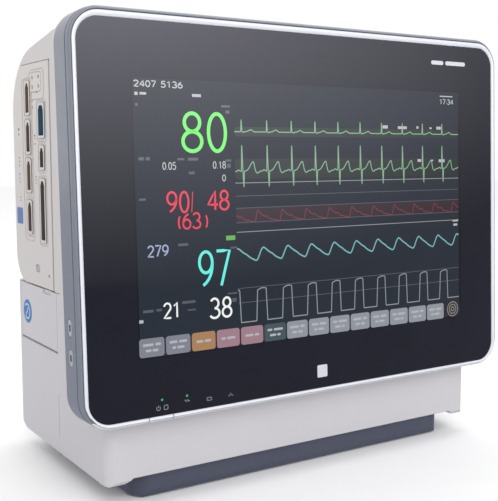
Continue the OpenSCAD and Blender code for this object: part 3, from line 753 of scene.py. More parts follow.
@dataclass
class Builder:
    """Shares the finishes, puts each new piece on its body and records its name."""

    finishes: Finishes
    made: list[str] = field(default_factory=list)

    def add(self, obj: bpy.types.Object, finish: str, slot: str, body: str = "housing") -> bpy.types.Object:
        """Dresses a new piece, lets it ride on its body and logs it.

        Returns:
            The same object.
        """
        self.finishes.dress(obj, finish)
        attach(obj, body)
        self.made.append(obj.name)
        log.info("%s: %d faces, %s, on %s", obj.name, len(obj.data.polygons), finish, body)
        return obj


# ---- Front of the monitor --------------------------------------------------------


@dataclass
class FrontRim:
    """The silver rim round the glass, with the power key cut out of its lower edge."""

    outer_w: float = 427.4 * MM
    outer_h: float = 306.4 * MM
    outer_r: float = 24.7 * MM
    inner_w: float = 417.0 * MM
    inner_h: float = 296.0 * MM
    inner_r: float = 18.3 * MM
    key_left: float = -160.0 * MM
    key_right: float = -140.4 * MM
    gap: float = 0.75 * MM
    back: float = 4.8 * MM
    steps: int = 22
    shoulder: float = 2.32 * MM
    groove: tuple[float, float] = (2.2 * MM, 2.9 * MM)
    groove_lip: float = -1.0 * MM
    foot_band: float = 7 * MM

    def profile(self) -> Array:
        """Share of the way from the outer to the inner outline, and depth, round the section.

        Returns:
            Array of shape (n, 2): a chamfered grey shoulder, a fine groove and a bright round lip.
        """
        table = [(0.0, 4.8), (0.0, 1.6), (0.03, 0.9), (0.10, 0.2), (0.22, -0.5), (0.34, -0.95),
                 (0.385, -0.98), (0.405, -0.2), (0.44, 0.1), (0.475, -0.3), (0.49, -1.1), (0.55, -1.45),
                 (0.66, -1.58), (0.80, -1.5), (0.93, -1.2), (1.05, -0.72), (1.12, -0.25), (1.12, -0.06),
                 (1.0, -0.06), (1.0, 3.0), (0.9, 3.15), (0.9, 4.8)]
        return np.array(table) * (1.0, MM)

    def tint(self, obj: bpy.types.Object, shop: Builder) -> None:
        """Paints the outer shoulder and the groove in the frame's grey, and leaves the lip silver.

        Args:
            obj: the rim, already dressed in silver.
            shop: the builder.
        """
        low = self.foot_band - self.outer_h / 2
        for name in ("frame_paint", "rim_groove"):
            obj.data.materials.append(shop.finishes.by_name[name])
        for face in obj.data.polygons:
            place = np.array(face.center) - PANEL.origin
            u, v, d = (float(place @ axis) for axis in (PANEL.right, PANEL.up, PANEL.inward))
            inset = self.inset(u, v)
            if inset < self.shoulder and v > low:
                face.material_index = 1
            elif self.groove[0] < inset < self.groove[1] and d > self.groove_lip:
                face.material_index = 2

    def inset(self, u: float, v: float) -> float:
        """Distance of a point inside the outer outline.

        Returns:
            Metres, measured from the nearest point of the rounded rectangle.
        """
        x = abs(u) - (self.outer_w / 2 - self.outer_r)
        y = abs(v) - (self.outer_h / 2 - self.outer_r)
        if x > 0 and y > 0:
            return self.outer_r - math.hypot(x, y)
        return self.outer_r - max(x, y)

    def outline(self, width: float, height: float, radius: float, shift: float, start: float,
                end: float) -> Array:
        """Open outline that leaves the lower edge at start and comes back to it at end.

        Returns:
            Array of shape (n, 2), counter-clockwise from the key's right-hand side.
        """
        x, y = width / 2 - radius, height / 2 - radius
        n = self.steps
        parts = [np.array([[start, -height / 2]]), turn_arc((x, -y), (radius, radius), -90, 0, n),
                 turn_arc((x, y), (radius, radius), 0, 90, n),
                 turn_arc((-x, y), (radius, radius), 90, 180, n),
                 turn_arc((-x, -y), (radius, radius), 180, 270, n), np.array([[end, -height / 2]])]
        return np.concatenate(parts) + np.array([0.0, shift])

    def build(self, shop: Builder) -> None:
        """Makes the rim, the bridge behind the key and the key's cap."""
        start, end = self.key_right + self.gap, self.key_left - self.gap
        outer = self.outline(self.outer_w, self.outer_h, self.outer_r, 0.0, start, end)
        inner = self.outline(self.inner_w, self.inner_h, self.inner_r, GLASS_V, start, end)
        profile = self.profile()
        share = profile[None, :, :1]
        flat = outer[:, None, :] * (1 - share) + inner[:, None, :] * share
        depth = np.broadcast_to(profile[None, :, 1], flat.shape[:2])
        points = PANEL.place(flat, depth).reshape(-1, 3)
        rows, cols = len(outer), len(profile)
        faces = grid_faces(rows, cols, close_cols=True)
        faces += [list(range(cols)), [(rows - 1) * cols + k for k in range(cols - 1, -1, -1)]]
        rim = recalc(make_object("silver_rim", points, faces))
        shop.add(rim, "rim_silver", "rim_plastic")
        self.tint(rim, shop)
        low = outer[0, 1]
        high = low * 0.1 + inner[0, 1] * 0.9
        edge = np.array([[end, low], [start, low], [start, high], [end, high]])
        bridge = PANEL.slab("rim_bridge", edge, 4.1 * MM, self.back)
        shop.add(bridge, "rim_groove", "rim_plastic")
        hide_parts("front_rim")
        path = rounded_outline(self.outer_w - 0.4 * MM, self.outer_h - 0.4 * MM,
                               self.outer_r - 0.2 * MM, count=14)
        section = np.array([[-0.9, 4.85], [-0.25, 4.85], [-0.25, 5.55], [-0.9, 5.55]]) * MM
        shop.add(PANEL.moulding("frame_joint_strip", path, section), "frame_paint", "frame_plastic")
        self.key(shop, outer[0, 1], inner[0, 1], profile)

    def key(self, shop: Builder, low: float, high: float, profile: Array) -> None:
        """The key's cap carries on the rim's section between its two slits.

        Args:
            shop: the builder.
            low: v of the rim's outer edge.
            high: v of the rim's inner edge.
            profile: the rim's section.
        """
        section = profile[profile[:, 1] < 3.0 * MM]
        section = np.concatenate([[[0.0, 2.9 * MM]], section[1:], [[0.95, -0.06 * MM], [0.95, 2.9 * MM]]])
        v = low * (1 - section[:, 0]) + high * section[:, 0]
        v = np.clip(v, low + 0.15 * MM, high + 0.45 * MM)
        ends = np.array([self.key_left, self.key_right])
        flat = np.stack(np.broadcast_arrays(ends[:, None], v[None, :]), axis=-1)
        depth = np.broadcast_to(section[:, 1], flat.shape[:2]) + 0.15 * MM
        points = PANEL.place(flat, depth).reshape(-1, 3)
        n = len(v)
        faces = grid_faces(2, n, close_cols=True) + [list(range(n)), list(range(2 * n - 1, n - 1, -1))]
        cap = recalc(make_object("power_key_cap", points, faces))
        shop.add(cap, "rim_silver", "rim_plastic", "power_key")
        stem_box = np.array([[-154.2, -151.9], [-146.2, -151.9], [-146.2, -150.3], [-154.2, -150.3]]) * MM
        stem = PANEL.slab("power_key_stem", stem_box, 2.95 * MM, 9.2 * MM)
        shop.add(stem, "rim_silver", "rim_plastic", "power_key")
        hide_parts("power_key")


@dataclass
class Digits:
    """Rounded stroke figures, each in a cell 0.6 wide and 1 high."""

    width: float = 0.62

    def strokes(self, sign: str) -> list[Array]:
        """Centre lines of one figure.

        Returns:
            List of (n, 2) arrays.
        """
        join, line = np.concatenate, polyline
        shapes = {
            "0": [turn_arc((0.3, 0.5), (0.25, 0.5), 90, 450, 40)],
            "1": [line((0.1, 0.78), (0.34, 1.0), (0.34, 0.5), (0.34, 0.0))],
            "2": [join([turn_arc((0.29, 0.72), (0.26, 0.28), 165, -35, 20),
                        line((0.28, 0.3), (0.03, 0.0), (0.3, 0.0), (0.58, 0.0))])],
            "3": [join([turn_arc((0.27, 0.75), (0.24, 0.25), 150, -90, 20),
                        turn_arc((0.27, 0.25), (0.29, 0.25), 90, -155, 24)])],
            "4": [line((0.46, 0.0), (0.46, 0.5), (0.46, 1.0), (0.24, 0.65), (0.02, 0.28), (0.3, 0.28),
                       (0.62, 0.28))],
            "5": [join([line((0.54, 1.0), (0.3, 1.0), (0.12, 1.0), (0.09, 0.56)),
                        turn_arc((0.27, 0.31), (0.28, 0.31), 120, -150, 24)])],
            "6": [join([turn_arc((0.66, 0.36), (0.62, 0.64), 112, 180, 14),
                        turn_arc((0.3, 0.3), (0.26, 0.3), 180, 540, 30)])],
            "7": [line((0.03, 1.0), (0.3, 1.0), (0.57, 1.0), (0.38, 0.5), (0.2, 0.0))],
            "8": [turn_arc((0.3, 0.76), (0.22, 0.24), -90, 270, 30),
                  turn_arc((0.3, 0.26), (0.27, 0.26), 90, 450, 32)],
            "9": [join([turn_arc((-0.06, 0.64), (0.62, 0.64), 292, 360, 14),
                        turn_arc((0.3, 0.7), (0.26, 0.3), 0, 360, 30)])],
            "/": [line((0.1, -0.06), (0.2, 0.45), (0.3, 1.04))],
            "(": [turn_arc((0.62, 0.42), (0.4, 0.62), 140, 220, 12)],
            ")": [turn_arc((-0.06, 0.42), (0.4, 0.62), -40, 40, 12)],
            ".": [line((0.1, 0.0), (0.1, 0.06))],
            ":": [line((0.1, 0.22), (0.1, 0.32)), line((0.1, 0.62), (0.1, 0.72))],
        }
        return shapes.get(sign, [])

    def advance(self, sign: str) -> float:
        """Returns the step to the next figure, in cells."""
        return {".": 0.3, ":": 0.34, "/": 0.5, "(": 0.5, " ": 0.5}.get(sign, self.width + 0.1)

    def lines(self, text: str, left: float, base: float, height: float, width: float) -> list[Array]:
        """Lays figures out from left to right.

        Args:
            text: the figures.
            left: u of the left edge.
            base: v of the baseline.
            height: height of a figure.
            width: width of the whole text.

        Returns:
            Lines in panel coordinates.
        """
        total = sum(self.advance(c) for c in text) - 0.1
        out, at = [], 0.0
        for sign in text:
            for s in self.strokes(sign):
                u = left + (s[:, 0] + at) * width / total
                out.append(np.stack([u, base + s[:, 1] * height], axis=1))
            at += self.advance(sign)
        return out


@dataclass
class Screen:
    """What the display shows: figures, traces, rules and soft keys, laid just on the glass."""

    half_w: float = 165.6 * MM
    half_h: float = 103.5 * MM
    trace_left: float = -79.0 * MM
    trace_right: float = 164.6 * MM
    first_beat: float = -72.5 * MM
    beat: float = 24.05 * MM
    first_breath: float = 17.2 * MM
    breath: float = 25.2 * MM

    def _add(self, shop: Builder, obj: bpy.types.Object, finish: str) -> None:
        """Registers one piece of the picture."""
        shop.add(obj, finish, "black_glass")

    def build(self, shop: Builder) -> None:
        """Makes the whole picture."""
        self.field(shop)
        self.figures(shop)
        self.traces(shop)
        self.rules(shop)
        self.captions(shop)
        self.soft_keys(shop)

    def field(self, shop: Builder) -> None:
        """The lit area and the dark line round it."""
        wide = rounded_outline(2 * self.half_w + 2.4 * MM, 2 * self.half_h + 2.4 * MM, 0.8 * MM, count=4)
        lit = rounded_outline(2 * self.half_w, 2 * self.half_h, 0.3 * MM, count=3)
        self._add(shop, PANEL.slab("display_dark_edge", wide, *Layer.DARK_EDGE.depths), "glass_dark_edge")
        side = rounded_outline(2.6 * MM, 190.0 * MM, 0.4 * MM, (self.half_w + 0.6 * MM, 2.5 * MM), 3)
        self._add(shop, PANEL.slab("display_dark_side", side, *Layer.DARK_SIDE.depths), "glass_dark_edge")
        self._add(shop, PANEL.slab("display_field", lit, *Layer.FIELD.depths), "glass_lit_field")

    def figures(self, shop: Builder) -> None:
        """The measured values: each row is name, text, left, base, height, width, stroke and ink."""
        digits = Digits()
        rows = [
            ("heart_rate", "80", -125.6, 50.0, 28.6, 40.6, 2.9, Ink.GREEN),
            ("st_first", "0.05", -142.6, 36.4, 5.2, 11.4, 0.7, Ink.SOFT_WHITE),
            ("st_second", "0.18", -99.0, 36.8, 5.2, 11.6, 0.7, Ink.SOFT_WHITE),
            ("extra_beats", "0", -91.0, 27.0, 4.6, 3.4, 0.7, Ink.SOFT_WHITE),
            ("pressure_high", "90", -140.0, 4.0, 15.4, 19.6, 1.65, Ink.RED),
            ("pressure_slash", "/", -119.4, 4.6, 14.2, 2.4, 0.65, Ink.RED),
            ("pressure_low", "48", -104.6, 4.8, 14.6, 19.6, 1.7, Ink.RED),
            ("pressure_mean", "(63)", -133.0, -8.6, 11.6, 31.0, 1.4, Ink.RED),
            ("tidal", "279", -157.0, -28.2, 8.0, 17.4, 1.15, Ink.BLUE_GREY),
            ("oxygen", "97", -114.2, -54.4, 27.2, 29.4, 2.35, Ink.CYAN),
            ("breath_rate", "21", -145.2, -75.4, 11.2, 14.4, 1.45, Ink.WHITE),
            ("carbon_dioxide", "38", -104.8, -79.4, 15.2, 20.0, 1.75, Ink.WHITE),
            ("clock", "17:34", 141.4, 92.6, 4.2, 17.0, 0.7, Ink.SOFT_WHITE),
            ("bed_number", "2407 5136", -164.2, 97.2, 4.3, 40.5, 0.85, Ink.SOFT_WHITE),
        ]
        for name, text, left, base, height, width, stroke, ink in rows:
            lines = digits.lines(text, left * MM, base * MM, height * MM, width * MM)
            obj = PANEL.strokes(f"figure_{name}", lines, stroke * MM, *Layer.FIGURE.depths)
            self._add(shop, obj, f"lit_{ink.name.lower()}")

    def phase(self, count: int) -> tuple[Array, Array]:
        """Returns positions along a trace, and the phase of each in its beat."""
        u = np.linspace(self.trace_left, self.trace_right, count)
        turn = (u - self.first_beat) / self.beat
        return u, turn - np.floor(turn)

    def traces(self, shop: Builder) -> None:
        """The waveforms, each a sum of bumps in the beat's phase p.

        Heart: a narrow spike at p = 0 and a wide wave near 0.36. Artery and pulse: a fast rise
        and a slow fall. Breath: flat-topped pulses 25 mm apart.
        """
        u, p = self.phase(2400)
        q = np.minimum(p, 1 - p)
        first = 1.6 * bell(p, 0.38, np.where(p < 0.38, 0.13, 0.07)) + 9.4 * bell(q, 0.0, 0.014)
        first += 65.2 - 0.5 * bell(p, 0.08, 0.03)
        second = 7.4 * bell(p, 0.44, np.where(p < 0.44, 0.17, 0.055)) + 20.6 * bell(q, 0.0, 0.018)
        second += 34.2 - 12.4 * bell(p, 0.055, 0.017) - 1.5 * bell(p, 0.60, 0.07) + bell(p, 0.86, 0.05)
        self._trace(shop, "trace_heart_a", u, first, 0.8, Ink.PALE_GREEN)
        self._trace(shop, "trace_heart_b", u, second, 0.85, Ink.TRACE_GREEN)
        lag = np.mod(p - 0.44, 1.0)
        ramp = np.where(lag < 0.14, np.sin(lag / 0.14 * math.pi / 2) ** 2, np.exp(-(lag - 0.14) / 0.34))
        notch = 0.14 * bell(lag, 0.50, 0.06) - 0.05 * bell(lag, 0.92, 0.08)
        self._trace(shop, "trace_artery", u, -6.2 + 9.2 * (ramp + notch), 0.75, Ink.DARK_RED)
        rise = np.mod(p - 0.50, 1.0)
        pulse = np.where(rise < 0.28, np.sin(np.clip(rise / 0.28, 0, 1) * math.pi / 2) ** 1.4,
                         (1 - (rise - 0.28) / 0.72) ** 1.35 + 0.05 * bell(rise, 0.62, 0.07))
        smooth = np.convolve(np.pad(pulse, 12, mode="edge"), np.ones(25) / 25, mode="valid")
        self._trace(shop, "trace_pulse", u, -37.0 + 10.6 * smooth, 1.15, Ink.TRACE_CYAN)
        breath = np.mod(u - self.trace_left - self.first_breath, self.breath) / self.breath
        wall = np.clip(np.minimum(breath / 0.05, (0.42 - breath) / 0.04), 0, 1)
        top = wall * (24.0 + 2.3 * np.sin(np.clip(breath / 0.42, 0, 1) * math.pi * 0.8))
        self._trace(shop, "trace_breath", u, -85.6 + top, 0.85, Ink.GREY)
        for name, low, high in (("heart_tint_a", 61.5, 69.0), ("heart_tint_b", 28.0, 44.0)):
            haze = rounded_outline(self.trace_right - self.trace_left, (high - low) * MM, 2.4 * MM,
                                   ((self.trace_left + self.trace_right) / 2, (low + high) / 2 * MM), 4)
            self._add(shop, PANEL.slab(name, haze, *Layer.TINT.depths), "heart_tint")
        band = np.array([[self.trace_left, -5.9 * MM], [self.trace_right, -5.9 * MM],
                         [self.trace_right, 4.9 * MM], [self.trace_left, 4.9 * MM]])
        self._add(shop, PANEL.slab("artery_tint", band, *Layer.TINT.depths), "artery_tint")

    def _trace(self, shop: Builder, name: str, u: Array, v_mm: Array, stroke: float, ink: Ink) -> None:
        """Makes one waveform's ribbon.

        Args:
            shop: the builder.
            name: the piece's name.
            u: positions along the screen, in metres.
            v_mm: heights in millimetres.
            stroke: line width in millimetres.
            ink: the line's colour.
        """
        line = np.stack([u, v_mm * MM], axis=1)
        keep = np.concatenate([[True], np.linalg.norm(np.diff(line, axis=0), axis=1) > 0.02 * MM])
        obj = PANEL.strokes(name, [line[keep]], stroke * MM, *Layer.TRACE.depths)
        self._add(shop, obj, f"lit_{ink.name.lower()}")

    def rules(self, shop: Builder) -> None:
        """Thin level lines between the traces."""
        u = np.array([self.trace_left, (self.trace_left + self.trace_right) / 2, self.trace_right])
        kinds = (("rules_bright", (25.1, -13.6), 0.6, "lit_grey"),
                 ("rules_dim", (14.8, 5.3, -6.2, -58.2, -69.8), 0.55, "lit_dim"))
        for name, heights, stroke, finish in kinds:
            lines = [np.stack([u, np.full(3, v * MM)], axis=1) for v in heights]
            self._add(shop, PANEL.strokes(name, lines, stroke * MM, *Layer.RULE.depths), finish)

    def captions(self, shop: Builder) -> None:
        """Short bars where the display has small captions: each is u, v, width and height."""
        pale = [(-162.5, 92.0, 2.6, 2.4), (-157.0, 92.2, 5.4, 1.8), (-112.0, 92.0, 7.8, 2.2),
                (149.6, 99.6, 16.0, 1.0), (76.0, 71.0, 6.0, 2.8), (96.0, 70.6, 10.5, 2.4),
                (114.0, 71.0, 2.4, 2.2), (130.0, 70.6, 2.6, 1.6), (140.0, 70.8, 5.6, 2.6),
                (116.0, 41.6, 4.4, 2.4), (131.5, 41.6, 3.0, 1.2), (143.5, 41.2, 7.4, 2.6),
                (160.5, -14.4, 7.0, 1.3), (160.5, -18.0, 5.0, 2.0), (-164.0, -76.0, 3.4, 2.4)]
        dull = [(-162.5, 84.0, 2.0, 2.0), (-86.5, 84.5, 8.0, 1.6), (-84.8, 80.2, 3.6, 2.4),
                (-160.0, 44.5, 4.4, 2.4), (-154.6, 44.5, 3.4, 2.4), (-127.0, 44.0, 6.0, 1.6),
                (-116.5, 44.0, 9.0, 2.2), (-118.0, 33.6, 5.0, 2.0), (-85.0, 42.8, 5.4, 1.6),
                (-84.6, 38.8, 3.2, 3.2), (-160.0, 14.5, 5.4, 1.6), (-127.0, -20.6, 8.6, 2.0),
                (-82.0, -25.4, 6.0, 1.4), (-158.0, -68.8, 8.6, 2.0), (-149.0, -68.6, 4.6, 1.8),
                (-123.5, -64.8, 11.6, 2.0), (-121.0, -71.0, 7.0, 1.2), (-84.2, -61.4, 9.0, 1.2),
                (-82.5, -66.8, 4.0, 3.0)]
        flag = [(-84.6, -17.6, 8.4, 3.6)]
        for name, bars, finish in (("captions_pale", pale, "lit_caption"),
                                   ("captions_dull", dull, "lit_dim"), ("flag_green", flag, "lit_flag")):
            outlines = [bar_mm(*sizes) for sizes in bars]
            self._add(shop, PANEL.slabs(name, outlines, *Layer.CAPTION.depths), finish)

    def soft_keys(self, shop: Builder) -> None:
        """The row of touch keys and the round dial sign at its end."""
        pitch, width, height = 22.33, 21.0, 14.2
        kinds = ["slate", "slate", "orange", "pink", "pink", "teal"] + ["grey"] * 8
        labels: dict[str, list[Array]] = {"pale": [], "dark": []}
        for k, kind in enumerate(kinds):
            u = -155.9 + k * pitch
            v = -96.2 - 0.07 * k
            plate = rounded_outline(width * MM, height * MM, 2.2 * MM, (u * MM, v * MM), 5)
            key = PANEL.slab(f"soft_key_{k + 1}", plate, *Layer.SOFT_KEY.depths)
            self._add(shop, key, f"lit_key_{kind}")
            rows = [(0.0, 0.62)] if kind in ("orange", "pink") else [(2.2, 0.72), (-2.2, 0.5)]
            for row, share in rows:
                cut = 0.36 + 0.14 * ((k * 5 + int(row)) % 3)
                for low, high in ((0.0, cut - 0.05), (cut + 0.05, 1.0)):
                    wide = width * share * (high - low)
                    at = u + ((low + high) / 2 - 0.5) * width * share
                    labels["pale" if kind in ("grey", "slate") else "dark"].append(
                        bar_mm(at, v + row, wide, 1.9, 0.7))
        for shade, bars in labels.items():
            plates = PANEL.slabs(f"key_labels_{shade}", bars, *Layer.KEY_LABEL.depths)
            self._add(shop, plates, "lit_key_label")
        ring = [turn_arc((156.4 * MM, -96.6 * MM), (r * MM, r * MM), 0, 360, 40) for r in (6.6, 4.2, 1.8)]
        self._add(shop, PANEL.strokes("dial_sign", ring, 1.0 * MM, *Layer.CAPTION.depths), "lit_dial")


@dataclass
class GlassMarks:
    """Lamps, signs and dark windows printed on the glass border."""

    lamp_v: float = -137.0 * MM
    sign_v: float = -143.2 * MM

    def build(self, shop: Builder) -> None:
        """Makes lamps, signs, windows and the two plain badges."""
        lamps = [self.dot(u, self.lamp_v, 0.95) for u in (-148.8, -127.3)]
        shop.add(PANEL.slabs("status_lamps", lamps, *Layer.BADGE.depths), "lamp_green", "clear_lens")
        off = [self.dot(u, self.lamp_v, 0.9) for u in (-108.0, -88.5)]
        off += [self.dot(-68.8, -140.0 * MM, 2.0, 24), self.dot(-48.4, -139.6 * MM, 2.0, 24)]
        shop.add(PANEL.slabs("dark_windows", off, *Layer.WINDOW.depths), "lamp_window", "black_glass")
        signs = PANEL.strokes("lamp_signs", self.signs(), 0.5 * MM, *Layer.SIGN.depths)
        shop.add(signs, "pale_print", "black_glass")
        badge = rounded_outline(10.5 * MM, 10.5 * MM, 1.0 * MM, (3.2 * MM, -135.0 * MM), 4)
        shop.add(PANEL.slab("plain_badge", badge, *Layer.BADGE.depths), "white_print", "black_glass")
        top = rounded_outline(26.0 * MM, 2.4 * MM, 1.0 * MM, (3.0 * MM, 128.0 * MM), 4)
        shop.add(PANEL.slab("faint_bar", top, *Layer.WINDOW.depths), "glass_dark_edge", "black_glass")
        right = [rounded_outline(w * MM, 3.6 * MM, 1.7 * MM, (u * MM, 129.6 * MM), 5)
                 for u, w in ((139.0, 15.0), (161.5, 25.0))]
        shop.add(PANEL.slabs("plain_bars", right, *Layer.BADGE.depths), "white_print", "black_glass")

    def dot(self, u: float, v: float, radius: float, count: int = 16) -> Array:
        """Returns a circle's outline, with u and the radius in millimetres and v in metres."""
        return turn_arc((u * MM, v), (radius * MM, radius * MM), 0, 360 - 360 / count, count)

    def signs(self) -> list[Array]:
        """Lines of the lamps' signs: on-off ring and bar, box, mains wave, battery cell and plug.

        Returns:
            List of (n, 2) arrays.
        """
        ring = turn_arc((-152.0 * MM, self.sign_v), (1.6 * MM, 1.6 * MM), 125, 415, 20)
        bar = polyline((-152.0, -143.0), (-152.0, -142.0), (-152.0, -141.0)) * MM
        box = rounded_outline(3.2 * MM, 3.2 * MM, 0.4 * MM, (-145.6 * MM, self.sign_v), 3)
        t = np.linspace(-2.2, 2.2, 24)
        rise = self.sign_v + 2.4 * MM + 0.7 * MM * np.sin(t * 2.8)
        wave = np.stack([(-127.3 + t) * MM, rise], axis=1)
        cell = rounded_outline(4.2 * MM, 2.2 * MM, 0.3 * MM, (-107.6 * MM, self.sign_v + 0.8 * MM), 3)
        plug = polyline((-90.4, -142.6), (-88.6, -142.6), (-88.6, -140.4), (-86.8, -142.6),
                        (-85.6, -142.6)) * MM
        box, cell = (np.concatenate([loop, loop[:1]]) for loop in (box, cell))
        return [ring, bar, box, wave, cell, plug]


# ---- Side of the monitor -----------------------------------------------------------


@dataclass
class UnitFace:
    """Raised surrounds, small signs and the blue sticker on the measuring unit."""

    def build(self, shop: Builder) -> None:
        """Makes the surrounds and the print of the unit."""
        section = polyline((-0.55, 0.05), (-0.45, -0.35), (-0.15, -0.5), (0.15, -0.5), (0.45, -0.35),
                           (0.55, 0.05)) * MM
        for name in SOCKETS:
            low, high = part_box(name)
            middle = ((low[1] + high[1]) / 2, (low[2] + high[2]) / 2)
            width, height = high[1] - low[1] + 4.4 * MM, high[2] - low[2] + 4.4 * MM
            path = rounded_outline(width, height, 3.4 * MM, middle, 6)
            ridge = FLANK.moulding(f"{name}_surround", path, section)
            shop.add(ridge, "unit_shell", "unit_plastic", "measuring_unit")
        self.columns(shop)
        self.signs(shop)

    def columns(self, shop: Builder) -> None:
        """Outlines of the rear column of sockets and of the jacks, as shallow ribs."""
        section = np.array([[-0.4, 0.05], [-0.25, -0.28], [0.25, -0.28], [0.4, 0.05]]) * MM
        rear = rounded_outline(25 * MM, 140 * MM, 5 * MM, (67.5 * MM, 262 * MM), 6)
        jacks = rounded_outline(35 * MM, 25 * MM, 5 * MM, (43 * MM, 326 * MM), 6)
        for name, path in (("rear_column_rib", rear), ("jack_rib", jacks)):
            shop.add(FLANK.moulding(name, path, section), "unit_shell", "unit_plastic", "measuring_unit")

    def signs(self, shop: Builder) -> None:
        """Heart signs, small bars and the blue sticker, in plain generic shapes.

        A heart is 16 sin^3 t across, and 13 cos t - 5 cos 2t - 2 cos 3t - cos 4t up, over 16.
        """
        t = np.linspace(0, 2 * math.pi, 25)[:-1]
        rise = 13 * np.cos(t) - 5 * np.cos(2 * t) - 2 * np.cos(3 * t) - np.cos(4 * t)
        heart = np.stack([16 * np.sin(t) ** 3, rise], axis=1) / 16
        hearts = ((54.5, 313.0, 1.7), (54.5, 307.0, 1.7), (91.0, 289.0, 1.8), (91.0, 284.6, 1.4))
        marks = [heart * size * MM + np.array([u, v]) * MM for u, v, size in hearts]
        bars = [(91.0, 264 - 3.4 * k, 2.0 - 0.4 * (k % 2), 1.6) for k in range(3)]
        bars += [(90.0, 229.0 - 3.0 * k, 1.8, 1.4) for k in range(2)]
        bars += [(50.0, 283.0, 3.4, 1.2), (49.0, 280.4, 2.4, 1.0), (49.6, 276.0, 3.0, 1.2)]
        bars += [(49.0, 248.0 - 2.6 * k, 2.8 - 0.5 * k, 1.1) for k in range(3)]
        bars += [(50.0, 319.8, 3.0, 0.9), (42.0, 319.2, 4.4, 0.7)]
        arrow = polyline((22.0, 163.4), (25.2, 165.2), (22.0, 167.0)) * MM
        marks += [bar_mm(*sizes, 0.3) for sizes in bars] + [arrow]
        faint = [bar_mm(91.4, 249.5, 4.2, 2.0, 0.3), bar_mm(91.4, 246.0, 3.2, 1.6, 0.3),
                 bar_mm(91.4, 242.8, 4.0, 1.6, 0.3)]
        sticker = rounded_outline(15.5 * MM, 14.6 * MM, 2.0 * MM, (93.2 * MM, 212.4 * MM), 4)
        for name, outlines, layer, finish in (
                ("unit_signs", marks, Layer.CASE_PRINT, "dark_print"),
                ("unit_faint_signs", faint, Layer.CASE_PRINT, "faint_print"),
                ("unit_sticker", [sticker], Layer.CASE_STICKER, "blue_print")):
            piece = FLANK.slabs(name, outlines, *layer.depths)
            shop.add(piece, finish, "unit_plastic", "measuring_unit")


@dataclass
class DoorDisc:
    """The plain blue disc on the battery door, with a pale ring and mark."""

    centre: tuple[float, float] = (80 * MM, 127 * MM)
    radius: float = 10.6 * MM

    def build(self, shop: Builder) -> None:
        """Makes the disc's dome, ring and mark."""
        r = np.linspace(0.0, 1.0, 9)
        ring = turn_arc((0, 0), (1, 1), 0, 350, 36)
        flat = r[:, None, None] * ring[None] * self.radius + np.array(self.centre)
        rise = -0.35 * MM * np.sqrt(np.clip(1 - (r * 0.98) ** 2, 0, 1)) - 0.05 * MM
        points = FLANK.place(flat, np.broadcast_to(rise[:, None], flat.shape[:2])).reshape(-1, 3)
        base = FLANK.place(ring * self.radius + np.array(self.centre), 0.02 * MM)
        points = np.concatenate([points, base])
        rows, cols = len(r), len(ring)
        faces = grid_faces(rows + 1, cols, close_cols=True) + [list(range(cols * rows, cols * (rows + 1)))]
        disc = recalc(make_object("door_disc", points, faces))
        shop.add(disc, "blue_disc", "housing_plastic", "battery_door")
        loop = turn_arc(self.centre, (self.radius * 0.62, self.radius * 0.62), 40, 320, 30)
        dash = np.array([[-0.2, 0.34], [0.0, 0.0], [0.3, -0.3]]) * self.radius + np.array(self.centre)
        mark = FLANK.strokes("door_disc_mark", [loop, dash], 1.5 * MM, *Layer.DISC_MARK.depths)
        shop.add(mark, "white_print", "housing_plastic", "battery_door")


@dataclass
class SideKeys:
    """Domed caps on the two side keys, with a dark dot each."""

    width: float = 6.9 * MM
    height: float = 12.9 * MM

    def build(self, shop: Builder) -> None:
        """Makes one dished cap per key, riding on the key's own body."""
        for name in ("side_key_upper", "side_key_lower"):
            low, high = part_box(name)
            middle = ((low[1] + high[1]) / 2, (low[2] + high[2]) / 2)
            plane = Plane(np.array([low[0], 0, 0]), FLANK.right, FLANK.up, FLANK.inward)
            scale = np.array([1.0, 0.93, 0.7, 0.4, 0.12])
            depth = np.array([0.05, -0.06, -0.02, 0.0, 0.0]) * MM
            path = rounded_outline(self.width, self.height, 3.4 * MM, (0, 0), 8)
            flat = scale[:, None, None] * path[None] + np.array(middle)
            points = plane.place(flat, np.broadcast_to(depth[:, None], flat.shape[:2])).reshape(-1, 3)
            n = len(path)
            points = np.concatenate([plane.place(path + np.array(middle), 0.3 * MM), points])
            faces = grid_faces(len(scale) + 1, n, close_cols=True)
            faces += [list(range(n)), [len(scale) * n + k for k in range(n)]]
            shop.add(recalc(make_object(f"{name}_cap", points, faces)), "key_cap", "key_plastic", name)
            dot = turn_arc(middle, (0.9 * MM, 0.9 * MM), 0, 345, 16)
            spot = plane.slab(f"{name}_dot", dot, *Layer.KEY_DOT.depths)
            shop.add(spot, "dark_print", "key_plastic", name)


# ---- Bodies of the monitor ----------------------------------------------------------


